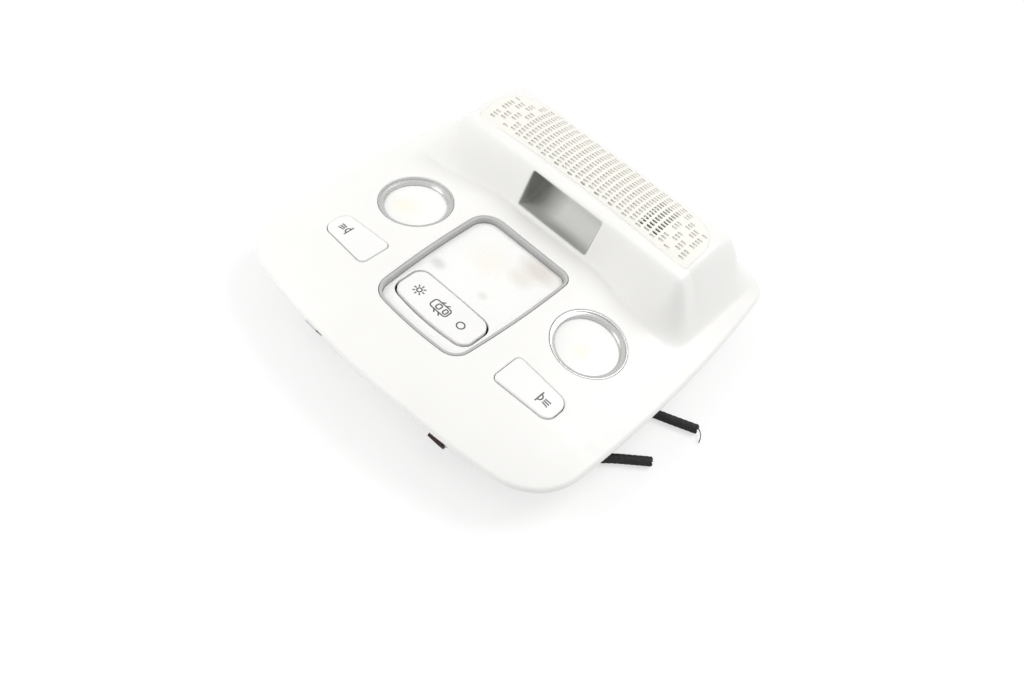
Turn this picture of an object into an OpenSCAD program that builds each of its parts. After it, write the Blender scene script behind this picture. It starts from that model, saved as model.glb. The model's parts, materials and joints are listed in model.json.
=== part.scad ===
// Front roof console of a car: courtesy light, two reading lights, their
// switches and a curved microphone grille on a raised hump.
// The light lies on its back with its face up. +X runs from the left reading
// light to the right one, +Y towards the hump, +Z out of the face.
// The origin is the middle of the footprint, on the surface it lies on.

/* [Face] */
// Greatest width across the side edges
body_w = 192; // [180:1:206]
// Greatest depth from front edge to rear edge
body_d = 192; // [188:1:204]
// Height of the flat middle of the face above the resting surface
face_h = 34; // [32:0.5:40]
// Wall of the moulded face
wall = 2.4; // [1.8:0.1:3]
// How far the front edge bows out in the middle
front_bow = 15.2; // [8:0.2:22]
// How far each side edge bows out
side_bow = 6.6; // [3:0.2:10]
// Where along Y the sides are widest
side_mid_y = -12; // [-24:1:10]
// How far the rear edge bows out
rear_bow = 5.2; // [2:0.2:10]
// Corner radius at the front
front_corner_r = 20; // [10:1:26]
// Corner radius at the rear
rear_corner_r = 12; // [6:1:18]
// How far the face falls from its flat area to the edge
rim_drop = 3.2; // [1:0.2:6]
// Width of that falling band
rim_band = 26; // [16:1:32]
// Depth of the edge below the surface
skirt_h = 4.5; // [3:0.5:7]

/* [Wings] */
// Distance from the middle to the crease where each wing starts
crease_x = 34; // [31:0.5:36]
// Fall of each wing
wing_tilt = 6; // [3:0.5:8]
// Half the width over which the crease is rounded
crease_soft = 4; // [2:0.5:6]

/* [Hump] */
// Height of the hump's crest above the face
hump_h = 23.5; // [21.5:0.5:26]
// Place of the crest along Y
crest_y = 56; // [54:0.5:58]
// Radius of the vaulted top
crest_r = 50; // [46:1:60]
// Place of the front ridge along Y
ridge_y = 33.3; // [32.5:0.1:34]
// Run of the hollow front wall, measured along Y
wall_run = 10.1; // [9:0.1:11.5]
// How much earlier that wall starts at the two ends
scoop = 6; // [3:0.5:8]
// Half width of the level part of the front ridge
ridge_half = 55; // [50:1:58]
// Half width of the level part of the vaulted top
vault_half = 65; // [64.5:0.5:67]
// Half width where the hump meets the face again at its ends
hump_half = 80; // [78:1:83]
// Where the vaulted top starts to fall to the rear edge
rear_fall_y = 71.5; // [71:0.5:73]
// Run of that fall
rear_run = 21.5; // [17:0.5:22]

/* [Display window] */
// Width of the window in the hump's front wall
window_w = 43; // [36:1:48]
// Lower edge of the window above the face
window_low = 1.4; // [1.2:0.1:2.4]
// Upper edge of the window above the face
window_top = 19.4; // [18.4:0.1:19.4]
// Radius of the scooped back of the tray
tray_r = 7.6; // [6.5:0.1:7.8]
// Wall of the tray
tray_wall = 1.2; // [0.8:0.1:1.4]

/* [Grille] */
// Width of the grille
grille_w = 128.5; // [120:0.5:129]
// Front edge of the grille along Y
grille_y = 38.3; // [37.8:0.1:39.5]
// Rear edge of the grille along Y
grille_rear_y = 70; // [68:0.5:70.5]
// Corner radius at the grille's rear
grille_corner_r = 20; // [12:0.5:21]
// How far the middle of the front edge lies back
grille_bow = 2; // [1:0.1:3]
// Thickness of the grille
grille_t = 1.6; // [1.2:0.1:1.8]
// Distance between slot columns
slot_pitch_x = 4.2; // [4:0.1:5]
// Distance between slots along a column, on the curved face
slot_pitch_y = 2; // [1.8:0.1:2.6]
// Length of a slot
slot_l = 3; // [2:0.1:3.2]
// Width of a slot
slot_w = 1.1; // [0.8:0.1:1.3]
// Plain border round the slots
slot_border = 2; // [1.6:0.1:3]
// Half width of the dense slots: outside it they thin out
dense_half = 43.5; // [36:0.5:48]
// Width of the ledge that carries the grille
ledge_w = 2; // [1.5:0.1:2.6]
// Thickness of the felt behind the grille
felt_t = 1.4; // [1:0.1:1.8]

/* [Microphone] */
// Place of the microphone along X
mic_x = 37.8; // [34:0.2:40]
// Place of the microphone along Y
mic_y = 53.6; // [52:0.2:55]
// Width of the microphone's case
mic_w = 13; // [11:0.5:15]
// Length of the microphone's case
mic_l = 25; // [22:0.5:26]
// Height of the microphone's case
mic_h = 9; // [7:0.5:11]

/* [Reading lights] */
// Distance of each reading light from the middle
lamp_x = 55; // [54.5:0.1:56]
// Place of both reading lights along Y
lamp_y = -10; // [-11:0.2:-9]
// Radius of the opening in the face
lamp_r = 18.2; // [17:0.1:18.6]
// Depth of the collar round each opening
lamp_collar = 7; // [6:0.5:8]
// Radius of the clear lens
lamp_lens_r = 15; // [14:0.1:15.4]
// How deep the lens lies below the face
lamp_recess = 2.3; // [1.6:0.1:3]
// Thickness of each reading lens
lamp_lens_t = 1.6; // [1.2:0.1:2]
// Wall of the collars round the openings
collar_wall = 1.6; // [1.2:0.1:2]

/* [Courtesy lens] */
// Half width of the lens opening at its front corners
lens_front_half = 24.8; // [24:0.1:25.6]
// Half width of the lens opening at its rear corners
lens_rear_half = 27.2; // [26:0.1:28]
// Front corners of the lens opening along Y
lens_front_y = -61.9; // [-63:0.1:-61.4]
// Rear edge of the lens opening along Y
lens_rear_y = 10; // [8:0.1:11]
// How far the front edge of the opening bows out
lens_bow = 1.6; // [1:0.1:2.2]
// Corner radius of the opening
lens_corner_r = 5; // [4:0.5:6]
// How deep the lens lies below the face
lens_recess = 4; // [3:0.1:4.4]
// Thickness of the lens
lens_t = 1.8; // [1.4:0.1:2]
// Width of the flange that holds the lens behind the collar
lens_flange = 2; // [1.4:0.1:2.2]

/* [Rocker switch] */
// Length of the rocker along X
rocker_l = 44.8; // [43:0.2:45.2]
// Front edge of the rocker along Y
rocker_front_y = -56.2; // [-56.6:0.1:-55.6]
// Rear edge of the rocker along Y
rocker_rear_y = -37.2; // [-38:0.1:-36.8]
// How far the rocker's front edge bows out
rocker_bow = 1.4; // [1:0.1:1.8]
// How far the rocker stands above the face
rocker_proud = 0.3; // [0:0.1:1]
// Radius of the rocker's crowned top
rocker_crown_r = 420; // [200:10:900]
// Gap between the rocker and the lens round it
rocker_gap = 1; // [0.9:0.05:1.2]
// Depth of the rocker's hinge below the face
pivot_depth = 9; // [8.8:0.1:9.2]
// Radius of the hinge trunnions
trunnion_r = 1.5; // [1.3:0.05:1.7]
// Length of the lever below the hinge
lever_l = 9; // [8:0.2:9.4]

/* [Push buttons] */
// Inner end of each button, from the middle
button_in_x = 40.3; // [39.5:0.1:41]
// Outer end of each button, from the middle
button_out_x = 69.6; // [68:0.1:70]
// Rear edge of each button along Y
button_rear_y = -40.4; // [-41:0.1:-39.8]
// Width of each button at its inner end
button_w_in = 16.9; // [15.5:0.1:17.2]
// Width of each button at its outer end
button_w_out = 13.4; // [12:0.1:14.5]
// Gap round each button
button_gap = 0.35; // [0.3:0.05:0.5]
// How far each button stands above the face
button_proud = 0.5; // [0.3:0.1:1]

/* [Back housing] */
// Width of the back housing
housing_w = 148; // [146:1:150]
// Front face of the housing along Y
housing_front_y = -67; // [-68:0.5:-66.5]
// Rear face of the housing along Y
housing_rear_y = 26; // [25:0.5:28]
// Height of the housing
housing_h = 21; // [19:0.5:21.5]
// Wall of the housing
housing_wall = 2; // [1.6:0.1:2.2]
// Underside of the circuit board above the resting surface
board_z = 8; // [7:0.5:9]
// Thickness of the circuit board
board_t = 1.6; // [1.2:0.1:1.8]

/* [Bulbs] */
// Radius of the glass
bulb_r = 4.2; // [3.6:0.1:4.8]
// Length of a bulb with its flat base
bulb_l = 20; // [18:0.5:20.5]
// Radius of a bulb holder
holder_r = 6.8; // [6.4:0.1:7]
// Height of the middle bulb's centre line
mid_bulb_z = 18; // [17.8:0.1:18.4]
// Place of the middle bulb along Y
mid_bulb_y = -0.5; // [-4:0.5:0]

/* [Connector and screws] */
// Middle of the connector along X
plug_x = -14; // [-18:0.5:-6]
// Width of the connector socket
plug_w = 19; // [16:0.5:22]
// Height of the connector socket
plug_h = 8.4; // [7:0.2:9]
// Depth of the connector socket
plug_depth = 12; // [10:0.5:13]
// Radius of a screw's shank
screw_r = 1.6; // [1.3:0.05:1.8]
// Distance of the front screws from the middle
screw_front_x = 67; // [66.8:0.1:67.4]
// Front screws along Y
screw_front_y = -30.5; // [-31:0.1:-30.3]
// Distance of the rear screws from the middle
screw_rear_x = 35; // [34.5:0.1:36]
// Rear screws along Y
screw_rear_y = 18; // [17:0.2:18.5]

/* [Spring clips] */
// Distance of the front clips from the middle
clip_front_x = 39; // [36:0.5:44]
// Front clips along Y
clip_front_y = -81; // [-83:0.5:-78]
// Distance of the rear clips from the middle
clip_rear_x = 58; // [52:0.5:62]
// Rear clips along Y
clip_rear_y = 80; // [76:0.5:82]
// Thickness of the spring steel
clip_t = 0.8; // [0.5:0.1:1]

/* [Cables] */
// Diameter of each cable
cable_d = 4.6; // [4:0.1:5]

/* [Hidden] */
$fn = 48;
eps = 0.01;
fit = 0.15;

// Bow radii of the four edges, from how far each bows out over half its length
function bow_radius(half, bow) = (half * half + bow * bow) / (2 * bow);
front_r = bow_radius(body_w / 2, front_bow);
side_r = bow_radius(body_d / 2, side_bow);
rear_r = bow_radius(body_w / 2, rear_bow);

// The face as a height over the plan: soft steps, a level middle, falling wings,
// a falling rim, and the hump that rises from them
function soft_step(t) = let (u = min(max(t, 0), 1)) u * u * (3 - 2 * u);
function soft_fall(t, r) = t < -r ? 0 : t > r ? t : (t + r) * (t + r) / (4 * r);
function inside(x, y, cx, cy, r) = r - norm([x - cx, y - cy]);
function rim_part(d, band) = pow(max(1 - d / band, 0), 3);
function rim(x, y) = pow(rim_part(inside(x, y, 0, front_r - body_d / 2, front_r), rim_band)
  + rim_part(inside(abs(x), y, body_w / 2 - side_r, side_mid_y, side_r), rim_band - 1)
  + rim_part(inside(x, y, 0, body_d / 2 - rear_r, rear_r), rim_band * 0.54), 1 / 3);
function crease(y) = crease_x - 9 * soft_step((-52 - y) / 24);
function plain(x, y) = face_h - tan(wing_tilt) * soft_fall(abs(x) - crease(y), crease_soft)
  - rim_drop * pow(min(rim(x, y), 1.3), 1.8);
axis_z = face_h + hump_h - crest_r;
flat_y = grille_y + 0.7;
function vault(y) = axis_z + sqrt(pow(crest_r, 2) - pow(min(max(y, flat_y), 80) - crest_y, 2));
function hump(x, y, in) = let (
  s = in * wall,
  low_y = ridge_y - wall_run - scoop * soft_step((abs(x) - 25) / 40) + 0.6 * s,
  rise = soft_step((y - low_y) / (ridge_y + 0.6 * s - low_y)),
  k = soft_step((y - ridge_y) / 9),
  level = ridge_half + (vault_half - ridge_half) * k,
  ends = soft_step((abs(x) - level + 0.45 * s) / (hump_half + 6 * k - level)),
  back = soft_step((y - rear_fall_y + 0.45 * s) / rear_run))
  rise * (1 - ends) * (1 - back);
function face(x, y, in) = let (h = hump(x, y, in))
  plain(x, y) * (1 - h) + vault(y) * h - in * wall;

// Stations of the face: close together where it bends
xs_half = [7.8, 15.7, 21.9, 26.3, 29, 32.1, 34.8, 38.4, 43.8, 49.8, 53.6, 58, 60.8, 63.7, 66.6,
  70.3, 73.3, 76.4, 79.6, 85.1, 90.8, 99];
ys = [-101, -94.1, -90.3, -85.9, -81.6, -76.7, -71.4, -63.8, -58, -51.9, -39.9, -14.7, 4.6, 11,
  14, 17.2, 19.9, 22.5, 24.9, 26.8, 28.6, 30.9, 32.6, 34.8, 38.9, 43.8, 49.7, 56.1, 62.3, 67.3,
  71, 74.4, 78.1, 81.3, 85.1, 88.8, 94.2, 101];
xs = concat([for (i = [len(xs_half) - 1:-1:0]) -xs_half[i]], [0], xs_half);
xs_in = [for (i = [0:2:len(xs) - 1]) xs[i]];
ys_in = [for (i = [0:len(ys) - 1]) if (i % 2 == 1 || i == 0 || (i > 12 && i < 24)) ys[i]];

// Points of the plan shapes
lens_points = concat(
  [for (i = [-4:4]) [lens_front_half * i / 4, lens_front_y - lens_bow * (1 - pow(i / 4, 2))]],
  [for (i = [1:3]) [lens_front_half + (lens_rear_half - lens_front_half) * i / 4
    + 0.5 * sin(45 * i), lens_front_y + (lens_rear_y - lens_front_y) * i / 4]],
  [[lens_rear_half, lens_rear_y], [-lens_rear_half, lens_rear_y]],
  [for (i = [3:-1:1]) [-lens_front_half - (lens_rear_half - lens_front_half) * i / 4
    - 0.5 * sin(45 * i), lens_front_y + (lens_rear_y - lens_front_y) * i / 4]]);
rocker_points = concat(
  [for (i = [-4:4]) [rocker_l / 2 * i / 4, rocker_front_y - rocker_bow * (1 - pow(i / 4, 2))]],
  [[rocker_l / 2, rocker_rear_y], [-rocker_l / 2, rocker_rear_y]]);

// Heights and places that follow from the sizes above
lens_z = face_h - lens_recess;
flange_z = lens_z - lens_t;
flange_t = 1.6;
frame_top = flange_z - flange_t - 0.1;
pivot_z = face_h - pivot_depth;
board_top = board_z + board_t;
rocker_mid_y = (rocker_front_y - rocker_bow + rocker_rear_y) / 2;
rocker_half = (rocker_rear_y - rocker_front_y + rocker_bow) / 2;
cheek_t = 1.6;
base_t = 1.6;
slider_z = board_top + base_t + 0.3;
slider_w = 8;
button_mid_x = (button_in_x + button_out_x) / 2;
button_mid_y = button_rear_y - (button_w_in + button_w_out) / 4;
button_a = (button_in_x - crease_x) / cos(wing_tilt);
button_b = (button_out_x - crease_x) / cos(wing_tilt);
cap_t = 1.8;
plunger_r = 2.2;
plunger_end = 18.6;
switch_h = 8;
switch_x = button_mid_x - plunger_end * sin(wing_tilt);
window_z = face_h + window_low;
window_top_z = face_h + window_top;
grille_bow_r = (3600 + grille_bow * grille_bow) / (2 * grille_bow);
slot_step = slot_pitch_y / crest_r * 180 / PI;
boss_low = 14;
boss_r = 3.4;
pillar_r = 4.4;
tower_low = 8;
tower_t = 4;
lamp_seat = lamp_recess + lamp_lens_t;
neck = 17.5;
neck_r = 7;
holder_low = 26.5;
cable_exit_z = 6.6;

// A wing's own frame: X outwards along its face, Z out of it
module wing(side) {
  mirror([side < 0 ? 1 : 0, 0, 0])
    translate([crease_x, 0, face_h])
      rotate([0, wing_tilt, 0])
        children();
}

// A reading light's own frame, with its middle on the face
module lamp(side) {
  wing(side)
    translate([(lamp_x - crease_x) / cos(wing_tilt), lamp_y, 0])
      children();
}

// Solid under the face, over the stations gx and gy, down to z = low;
// with a drop it lies that far under the plain face without its hump
module field(gx, gy, in, low, drop) {
  nx = len(gx);
  ny = len(gy);
  top = [for (y = gy) for (x = gx)
    [x, y, drop > 0 ? plain(x, y) - drop : face(x, y, in)]];
  c = nx * ny;
  corners = [[gx[0], gy[0], low], [gx[nx - 1], gy[0], low],
    [gx[nx - 1], gy[ny - 1], low], [gx[0], gy[ny - 1], low]];
  quads = [for (j = [0:ny - 2]) for (i = [0:nx - 2])
    let (a = j * nx + i) each [[a, a + nx, a + nx + 1], [a, a + nx + 1, a + 1]]];
  sides = [concat([c], [for (i = [0:nx - 1]) i], [c + 1]),
    concat([c + 2], [for (i = [nx - 1:-1:0]) (ny - 1) * nx + i], [c + 3]),
    concat([c + 3], [for (j = [ny - 1:-1:0]) j * nx], [c]),
    concat([c + 1], [for (j = [0:ny - 1]) j * nx + nx - 1], [c + 2]),
    [c, c + 1, c + 2, c + 3]];
  polyhedron(concat(top, corners), concat(quads, sides), convexity = 8);
}

module edge_shape() {
  intersection() {
    translate([0, front_r - body_d / 2])
      circle(front_r, $fn = 240);
    translate([0, body_d / 2 - rear_r])
      circle(rear_r, $fn = 500);
    translate([body_w / 2 - side_r, side_mid_y])
      circle(side_r, $fn = 400);
    translate([side_r - body_w / 2, side_mid_y])
      circle(side_r, $fn = 400);
  }
}

module rounded_edge(r, low_y) {
  intersection() {
    offset(r = r)
      offset(delta = -r)
        edge_shape();
    translate([-body_w, low_y])
      square([2 * body_w, body_d]);
  }
}

module plan_shape() {
  rounded_edge(front_corner_r, -body_d);
  rounded_edge(rear_corner_r, -eps);
}

module lens_shape(grow) {
  offset(r = lens_corner_r + grow, $fn = 32)
    offset(delta = -lens_corner_r)
      polygon(lens_points);
}

module rocker_shape(grow) {
  offset(r = 3 + grow)
    offset(delta = -3)
      polygon(rocker_points);
}

// Outline of a button in its wing's frame
module button_shape(grow) {
  hull() {
    translate([button_a + 2.5, button_rear_y - 2.5])
      circle(2.5 + grow, $fn = 24);
    translate([button_a + 2.5, button_rear_y - button_w_in + 2.5])
      circle(2.5 + grow, $fn = 24);
    translate([button_b - 5, button_rear_y - 5])
      circle(5 + grow, $fn = 32);
    translate([button_b - 5, button_rear_y - button_w_out + 5])
      circle(5 + grow, $fn = 32);
  }
}

module grille_shape(grow) {
  difference() {
    hull() {
      for (s = [-1, 1]) {
        translate([s * (grille_w / 2 - 3), grille_y + 3])
          circle(3 + grow);
        translate([s * (grille_w / 2 - grille_corner_r), grille_rear_y - grille_corner_r])
          circle(grille_corner_r + grow, $fn = 60);
      }
    }
    translate([0, grille_y + grille_bow - grille_bow_r])
      circle(grille_bow_r - grow, $fn = 500);
  }
}

// Cylinder along X round the axis of the vaulted top
module vault_bar(r) {
  translate([-body_w / 2, crest_y, axis_z])
    rotate([90, 0, 90])
      cylinder(h = body_w, r = r, $fn = 120);
}

module rounded_block(w, d, h, r) {
  linear_extrude(h)
    hull()
      for (x = [-1, 1], y = [-1, 1])
        translate([x * (w / 2 - r), y * (d / 2 - r)])
          circle(r, $fn = 16);
}

module shell() {
  difference() {
    intersection() {
      linear_extrude(90)
        plan_shape();
      field(xs, ys, 0, 2, 0);
    }
    intersection() {
      linear_extrude(90)
        offset(delta = -wall)
          plan_shape();
      field(xs_in, ys_in, 1, 1, 0);
    }
    field(xs_in, ys_in, 0, 0.5, skirt_h);
  }
}

// Wall that reaches down round the housing's rim
module mating_rib() {
  translate([0, (housing_front_y + housing_rear_y) / 2, housing_h - 3])
    difference() {
      rounded_block(housing_w + 4.2, housing_rear_y - housing_front_y + 4.2, 60, 5);
      translate([0, 0, -1])
        rounded_block(housing_w + 0.8, housing_rear_y - housing_front_y + 0.8, 62, 4);
    }
}

module inner_parts() {
  mating_rib();
  translate([0, 0, flange_z])
    linear_extrude(30)
      lens_shape(collar_wall);
  for (side = [-1, 1]) {
    lamp(side)
      translate([0, 0, -lamp_collar])
        cylinder(h = 20, r = lamp_r + collar_wall, $fn = 60);
    wing(side)
      translate([0, 0, -5])
        linear_extrude(20)
          button_shape(button_gap + collar_wall);
    translate([side * screw_front_x, screw_front_y, boss_low])
      cylinder(h = 40, r = boss_r, $fn = 24);
    translate([side * screw_rear_x, screw_rear_y, boss_low])
      cylinder(h = 40, r = boss_r, $fn = 24);
    translate([side * clip_front_x, clip_front_y, tower_low])
      rounded_block(9, tower_t, 60, 0.8);
    translate([side * clip_rear_x, clip_rear_y, tower_low])
      rounded_block(9, tower_t, 60, 0.8);
  }
  difference() {
    linear_extrude(90)
      grille_shape(1.6);
    vault_bar(crest_r - grille_t - 1.8);
  }
  translate([mic_x - mic_w / 2 - 1.6, grille_y, face_h + 7.4])
    cube([mic_w + 3.2, grille_rear_y - grille_y + 2, 40]);
}

module openings() {
  linear_extrude(90)
    lens_shape(0);
  for (side = [-1, 1]) {
    lamp(side) {
      translate([0, 0, -20])
        cylinder(h = 40, r = lamp_r, $fn = 72);
      translate([0, 0, -0.4])
        cylinder(h = 2, r1 = lamp_r, r2 = lamp_r + 2, $fn = 72);
    }
    wing(side)
      translate([0, 0, -20])
        linear_extrude(40)
          button_shape(button_gap);
    translate([side * screw_front_x, screw_front_y, boss_low - 1])
      cylinder(h = 12, r = screw_r + 0.03, $fn = 24);
    translate([side * screw_rear_x, screw_rear_y, boss_low - 1])
      cylinder(h = 12, r = screw_r + 0.03, $fn = 24);
  }
  translate([-window_w / 2, ridge_y - wall_run - scoop, window_z])
    cube([window_w, wall_run + scoop + 16, window_top - window_low]);
  difference() {
    linear_extrude(90)
      grille_shape(fit);
    vault_bar(crest_r - grille_t);
  }
  difference() {
    linear_extrude(90)
      grille_shape(-ledge_w);
    vault_bar(crest_r - grille_t - felt_t);
  }
  translate([mic_x - mic_w / 2 - fit, mic_y - mic_l / 2 - fit, face_h + 9])
    cube([mic_w + 2 * fit, mic_l + 2 * fit, 40]);
}

// Moulded face with its collars, ribs, bosses and clip towers, in one piece
module fascia() {
  color("white")
    difference() {
      union() {
        shell();
        intersection() {
          inner_parts();
          field(xs_in, ys_in, 0.5, 1, 0);
        }
      }
      openings();
    }
}

// Whether the grille has slot j in column i: all in the middle, groups further out
function slot_there(i, j) = let (
  x = abs(i) * slot_pitch_x,
  y = crest_y + crest_r * sin((j + (i % 2 == 0 ? 0 : 0.5)) * slot_step),
  reach = grille_w / 2 - slot_border - slot_l / 2,
  corner = norm([max(x + slot_l / 2 - grille_w / 2 + grille_corner_r, 0),
    max(y + slot_w / 2 - grille_rear_y + grille_corner_r, 0)]))
  x < reach && y > grille_y + grille_bow + slot_border && corner < grille_corner_r - slot_border
  && (x <= dense_half || (j + 20 + 2 * abs(i)) % 5 < (x < dense_half + 12 ? 3 : 1));

// Curved grille, pierced by columns of short slots
module grille() {
  color("ivory")
    difference() {
      intersection() {
        difference() {
          vault_bar(crest_r);
          vault_bar(crest_r - grille_t);
        }
        linear_extrude(90)
          grille_shape(0);
      }
      for (i = [-15:15], j = [-8:8])
        if (slot_there(i, j))
          translate([i * slot_pitch_x, crest_y, axis_z])
            rotate([-(j + (i % 2 == 0 ? 0 : 0.5)) * slot_step, 0, 0])
              translate([-slot_l / 2, -slot_w / 2, crest_r - 4])
                cube([slot_l, slot_w, 6]);
    }
}

// Sheet of felt behind the grille, open where the microphone sits
module acoustic_felt() {
  color("gainsboro")
    difference() {
      intersection() {
        difference() {
          vault_bar(crest_r - grille_t);
          vault_bar(crest_r - grille_t - felt_t);
        }
        linear_extrude(90)
          grille_shape(-ledge_w - 0.3);
      }
      translate([mic_x - mic_w / 2 - 1, mic_y - mic_l / 2, 0])
        cube([mic_w + 2, mic_l, 90]);
    }
}

module microphone() {
  color("black")
    union() {
      translate([mic_x, mic_y, face_h + 9])
        rounded_block(mic_w, mic_l, mic_h - 0.6, 1.5);
      for (y = [-1, 1])
        translate([mic_x, mic_y + y * 5, face_h + 9])
          cylinder(h = mic_h, r = 4.4);
    }
}

// Grey tray that closes the empty display window
module blank_tray() {
  front_low = ridge_y - wall_run * 0.82;
  front_top = ridge_y - wall_run * 0.14;
  back = ridge_y + 7.5;
  color("lightgray")
    difference() {
      translate([-window_w / 2 + 0.1, 0, 0])
        rotate([90, 0, 90])
          linear_extrude(window_w - 0.2)
            polygon([[front_low, window_z + 0.1], [back - 3, window_z + 0.1], [back, window_z + 3],
              [back, window_top_z - 4.4], [back - 3, window_top_z - 0.1],
              [front_top, window_top_z - 0.1]]);
      translate([-window_w / 2 + 0.1 + tray_wall, 0, 0])
        rotate([90, 0, 90])
          linear_extrude(window_w - 0.2 - 2 * tray_wall) {
            translate([back - tray_wall - tray_r, window_z + 0.1 + tray_wall + tray_r])
              circle(tray_r);
            polygon([[front_low - 6, window_z + 0.1 + tray_wall],
              [back - tray_wall - tray_r, window_z + 0.1 + tray_wall],
              [back - tray_wall, window_z + 0.1 + tray_wall + tray_r],
              [back - tray_wall, window_top_z - 5.2],
              [back - 3.6, window_top_z - 0.1 - tray_wall],
              [front_top - 12, window_top_z - 0.1 - tray_wall]]);
          }
    }
}

// Diffusing lens with a flange behind the face's collar and a cut-out for the rocker
module courtesy_lens() {
  color("white")
    difference() {
      union() {
        translate([0, 0, flange_z])
          linear_extrude(lens_t)
            lens_shape(-fit);
        translate([0, 0, flange_z - flange_t])
          linear_extrude(flange_t)
            difference() {
              lens_shape(lens_flange);
              lens_shape(-2);
            }
      }
      translate([0, 0, flange_z - eps])
        linear_extrude(lens_t + 2 * eps)
          rocker_shape(rocker_gap);
    }
}

module lamp_ring(side) {
  color("silver")
    lamp(side)
      rotate_extrude($fn = 96)
        polygon([[lamp_r - 0.15, -0.3], [lamp_lens_r + 2.4, -0.3], [lamp_lens_r, -lamp_recess],
          [lamp_lens_r, -lamp_recess - 0.8], [lamp_lens_r + 1.4, -lamp_recess - 0.8],
          [lamp_lens_r + 1.4, -lamp_collar - 1], [lamp_r + 1.1, -lamp_collar - 1],
          [lamp_r + 1.1, -lamp_collar], [lamp_r - 0.15, -lamp_collar]]);
}

module reading_lens(side) {
  color("white")
    lamp(side)
      translate([0, 0, -lamp_seat - 0.8])
        cylinder(h = lamp_lens_t, r = lamp_lens_r + 1.3, $fn = 96);
}

// Bowl behind a reading lens, closed by the bulb holder at its neck
module reflector(side) {
  color("silver")
    lamp(side)
      rotate_extrude($fn = 72)
        polygon([[lamp_lens_r + 1.2, -lamp_seat - 0.9], [lamp_lens_r - 0.6, -lamp_seat - 0.9],
          [13.2, -9], [10.2, -13], [neck_r - 1, -16], [neck_r - 1, -neck], [neck_r, -neck],
          [neck_r, -16.4], [11, -13.8], [14.2, -9.4], [lamp_lens_r, -lamp_seat - 1.9],
          [lamp_lens_r + 1.2, -lamp_seat - 1.9]]);
}

module reflector_centre() {
  color("silver")
    translate([0, -11.5, board_z + 1])
      difference() {
        rounded_block(48, 41, frame_top - board_z - 1, 3);
        translate([0, 0, 1.2])
          rounded_block(45.6, 38.6, 30, 2);
      }
}

module bulb(side) {
  color("white")
    lamp(side)
      union() {
        translate([0, 0, -holder_low + 0.6])
          translate([-bulb_r * 0.8, -1.2, 0])
            cube([bulb_r * 1.6, 2.4, 7]);
        translate([0, 0, -holder_low + 7])
          cylinder(h = bulb_l - 7 - bulb_r, r = bulb_r);
        translate([0, 0, -holder_low + bulb_l - bulb_r])
          sphere(bulb_r);
      }
}

module bulb_centre() {
  color("white")
    translate([16, mid_bulb_y, mid_bulb_z])
      rotate([0, -90, 0])
        union() {
          translate([-bulb_r * 0.8, -1.2, 0.6])
            cube([bulb_r * 1.6, 2.4, 7]);
          translate([0, 0, 7])
            cylinder(h = bulb_l - 7 - bulb_r, r = bulb_r);
          translate([0, 0, bulb_l - bulb_r])
            sphere(bulb_r);
        }
}

module holder_body(rim) {
  difference() {
    union() {
      cylinder(h = 8.4, r = holder_r);
      translate([0, 0, 7.2])
        cylinder(h = 1.2, r = holder_r + rim);
    }
    translate([-bulb_r * 0.8 - fit, -1.35, 0.5])
      cube([bulb_r * 1.6 + 2 * fit, 2.7, 9]);
    translate([0, 0, 5])
      cylinder(h = 5, r = bulb_r + 0.4);
  }
}

module bulb_holder(side) {
  color("saddlebrown")
    lamp(side)
      translate([0, 0, -holder_low])
        holder_body(1.2);
}

module bulb_holder_centre() {
  color("saddlebrown")
    union() {
      translate([16, mid_bulb_y, mid_bulb_z])
        rotate([0, -90, 0])
          holder_body(0.5);
      difference() {
        translate([9, mid_bulb_y - 4, board_z + 2.2])
          cube([6.4, 8, mid_bulb_z - board_z - 2.2]);
        translate([0, mid_bulb_y, mid_bulb_z])
          rotate([0, 90, 0])
            cylinder(h = 30, r = holder_r - 1);
      }
    }
}

// Rocker on two trunnions, with a lever that moves the slider
module rocker() {
  color("white")
    union() {
      difference() {
        intersection() {
          translate([0, 0, pivot_z + 2])
            linear_extrude(20)
              rocker_shape(0);
          translate([0, 0, face_h + rocker_proud - rocker_crown_r])
            rotate([90, 0, 0])
              cylinder(h = 200, r = rocker_crown_r, center = true, $fn = 360);
        }
        for (s = [-1, 1])
          translate([s * (rocker_l / 4 + 1.2) - rocker_l / 4 + 4, rocker_front_y + 1.6, pivot_z - 5])
            cube([rocker_l / 2 - 8, rocker_rear_y - rocker_front_y - 3.2, 5 + 6.6]);
      }
      translate([-4, rocker_mid_y - rocker_half + 1, pivot_z - 1.5])
        cube([8, 2 * rocker_half - 2, 5]);
      translate([0, rocker_mid_y - rocker_half - 2.4, pivot_z])
        rotate([-90, 0, 0])
          cylinder(h = 2 * rocker_half + 4.8, r = trunnion_r);
      translate([-1.2, rocker_mid_y - 2.5, pivot_z - lever_l])
        cube([2.4, 5, lever_l]);
      translate([0, rocker_mid_y - 2.5, pivot_z - lever_l])
        rotate([-90, 0, 0])
          cylinder(h = 5, r = 1.2);
    }
}

// Bearing frame of the rocker, with rails for the slider
module rocker_frame() {
  color("dimgray")
    difference() {
      union() {
        translate([-9, rocker_mid_y - rocker_half - 2.6, board_top])
          cube([18, cheek_t, frame_top - board_top]);
        translate([-9, rocker_mid_y + rocker_half + 1, board_top])
          cube([18, cheek_t, frame_top - board_top]);
        translate([-14, rocker_mid_y - rocker_half - 2.6, board_top])
          cube([28, 2 * rocker_half + 5.2, base_t]);
        for (s = [-1, 1])
          translate([-12, rocker_mid_y + s * (slider_w / 2 + 0.9) - 0.6, board_top])
            cube([24, 1.2, base_t + 3]);
      }
      translate([0, rocker_mid_y - 30, pivot_z])
        rotate([-90, 0, 0])
          cylinder(h = 60, r = trunnion_r + 0.05);
    }
}

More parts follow.
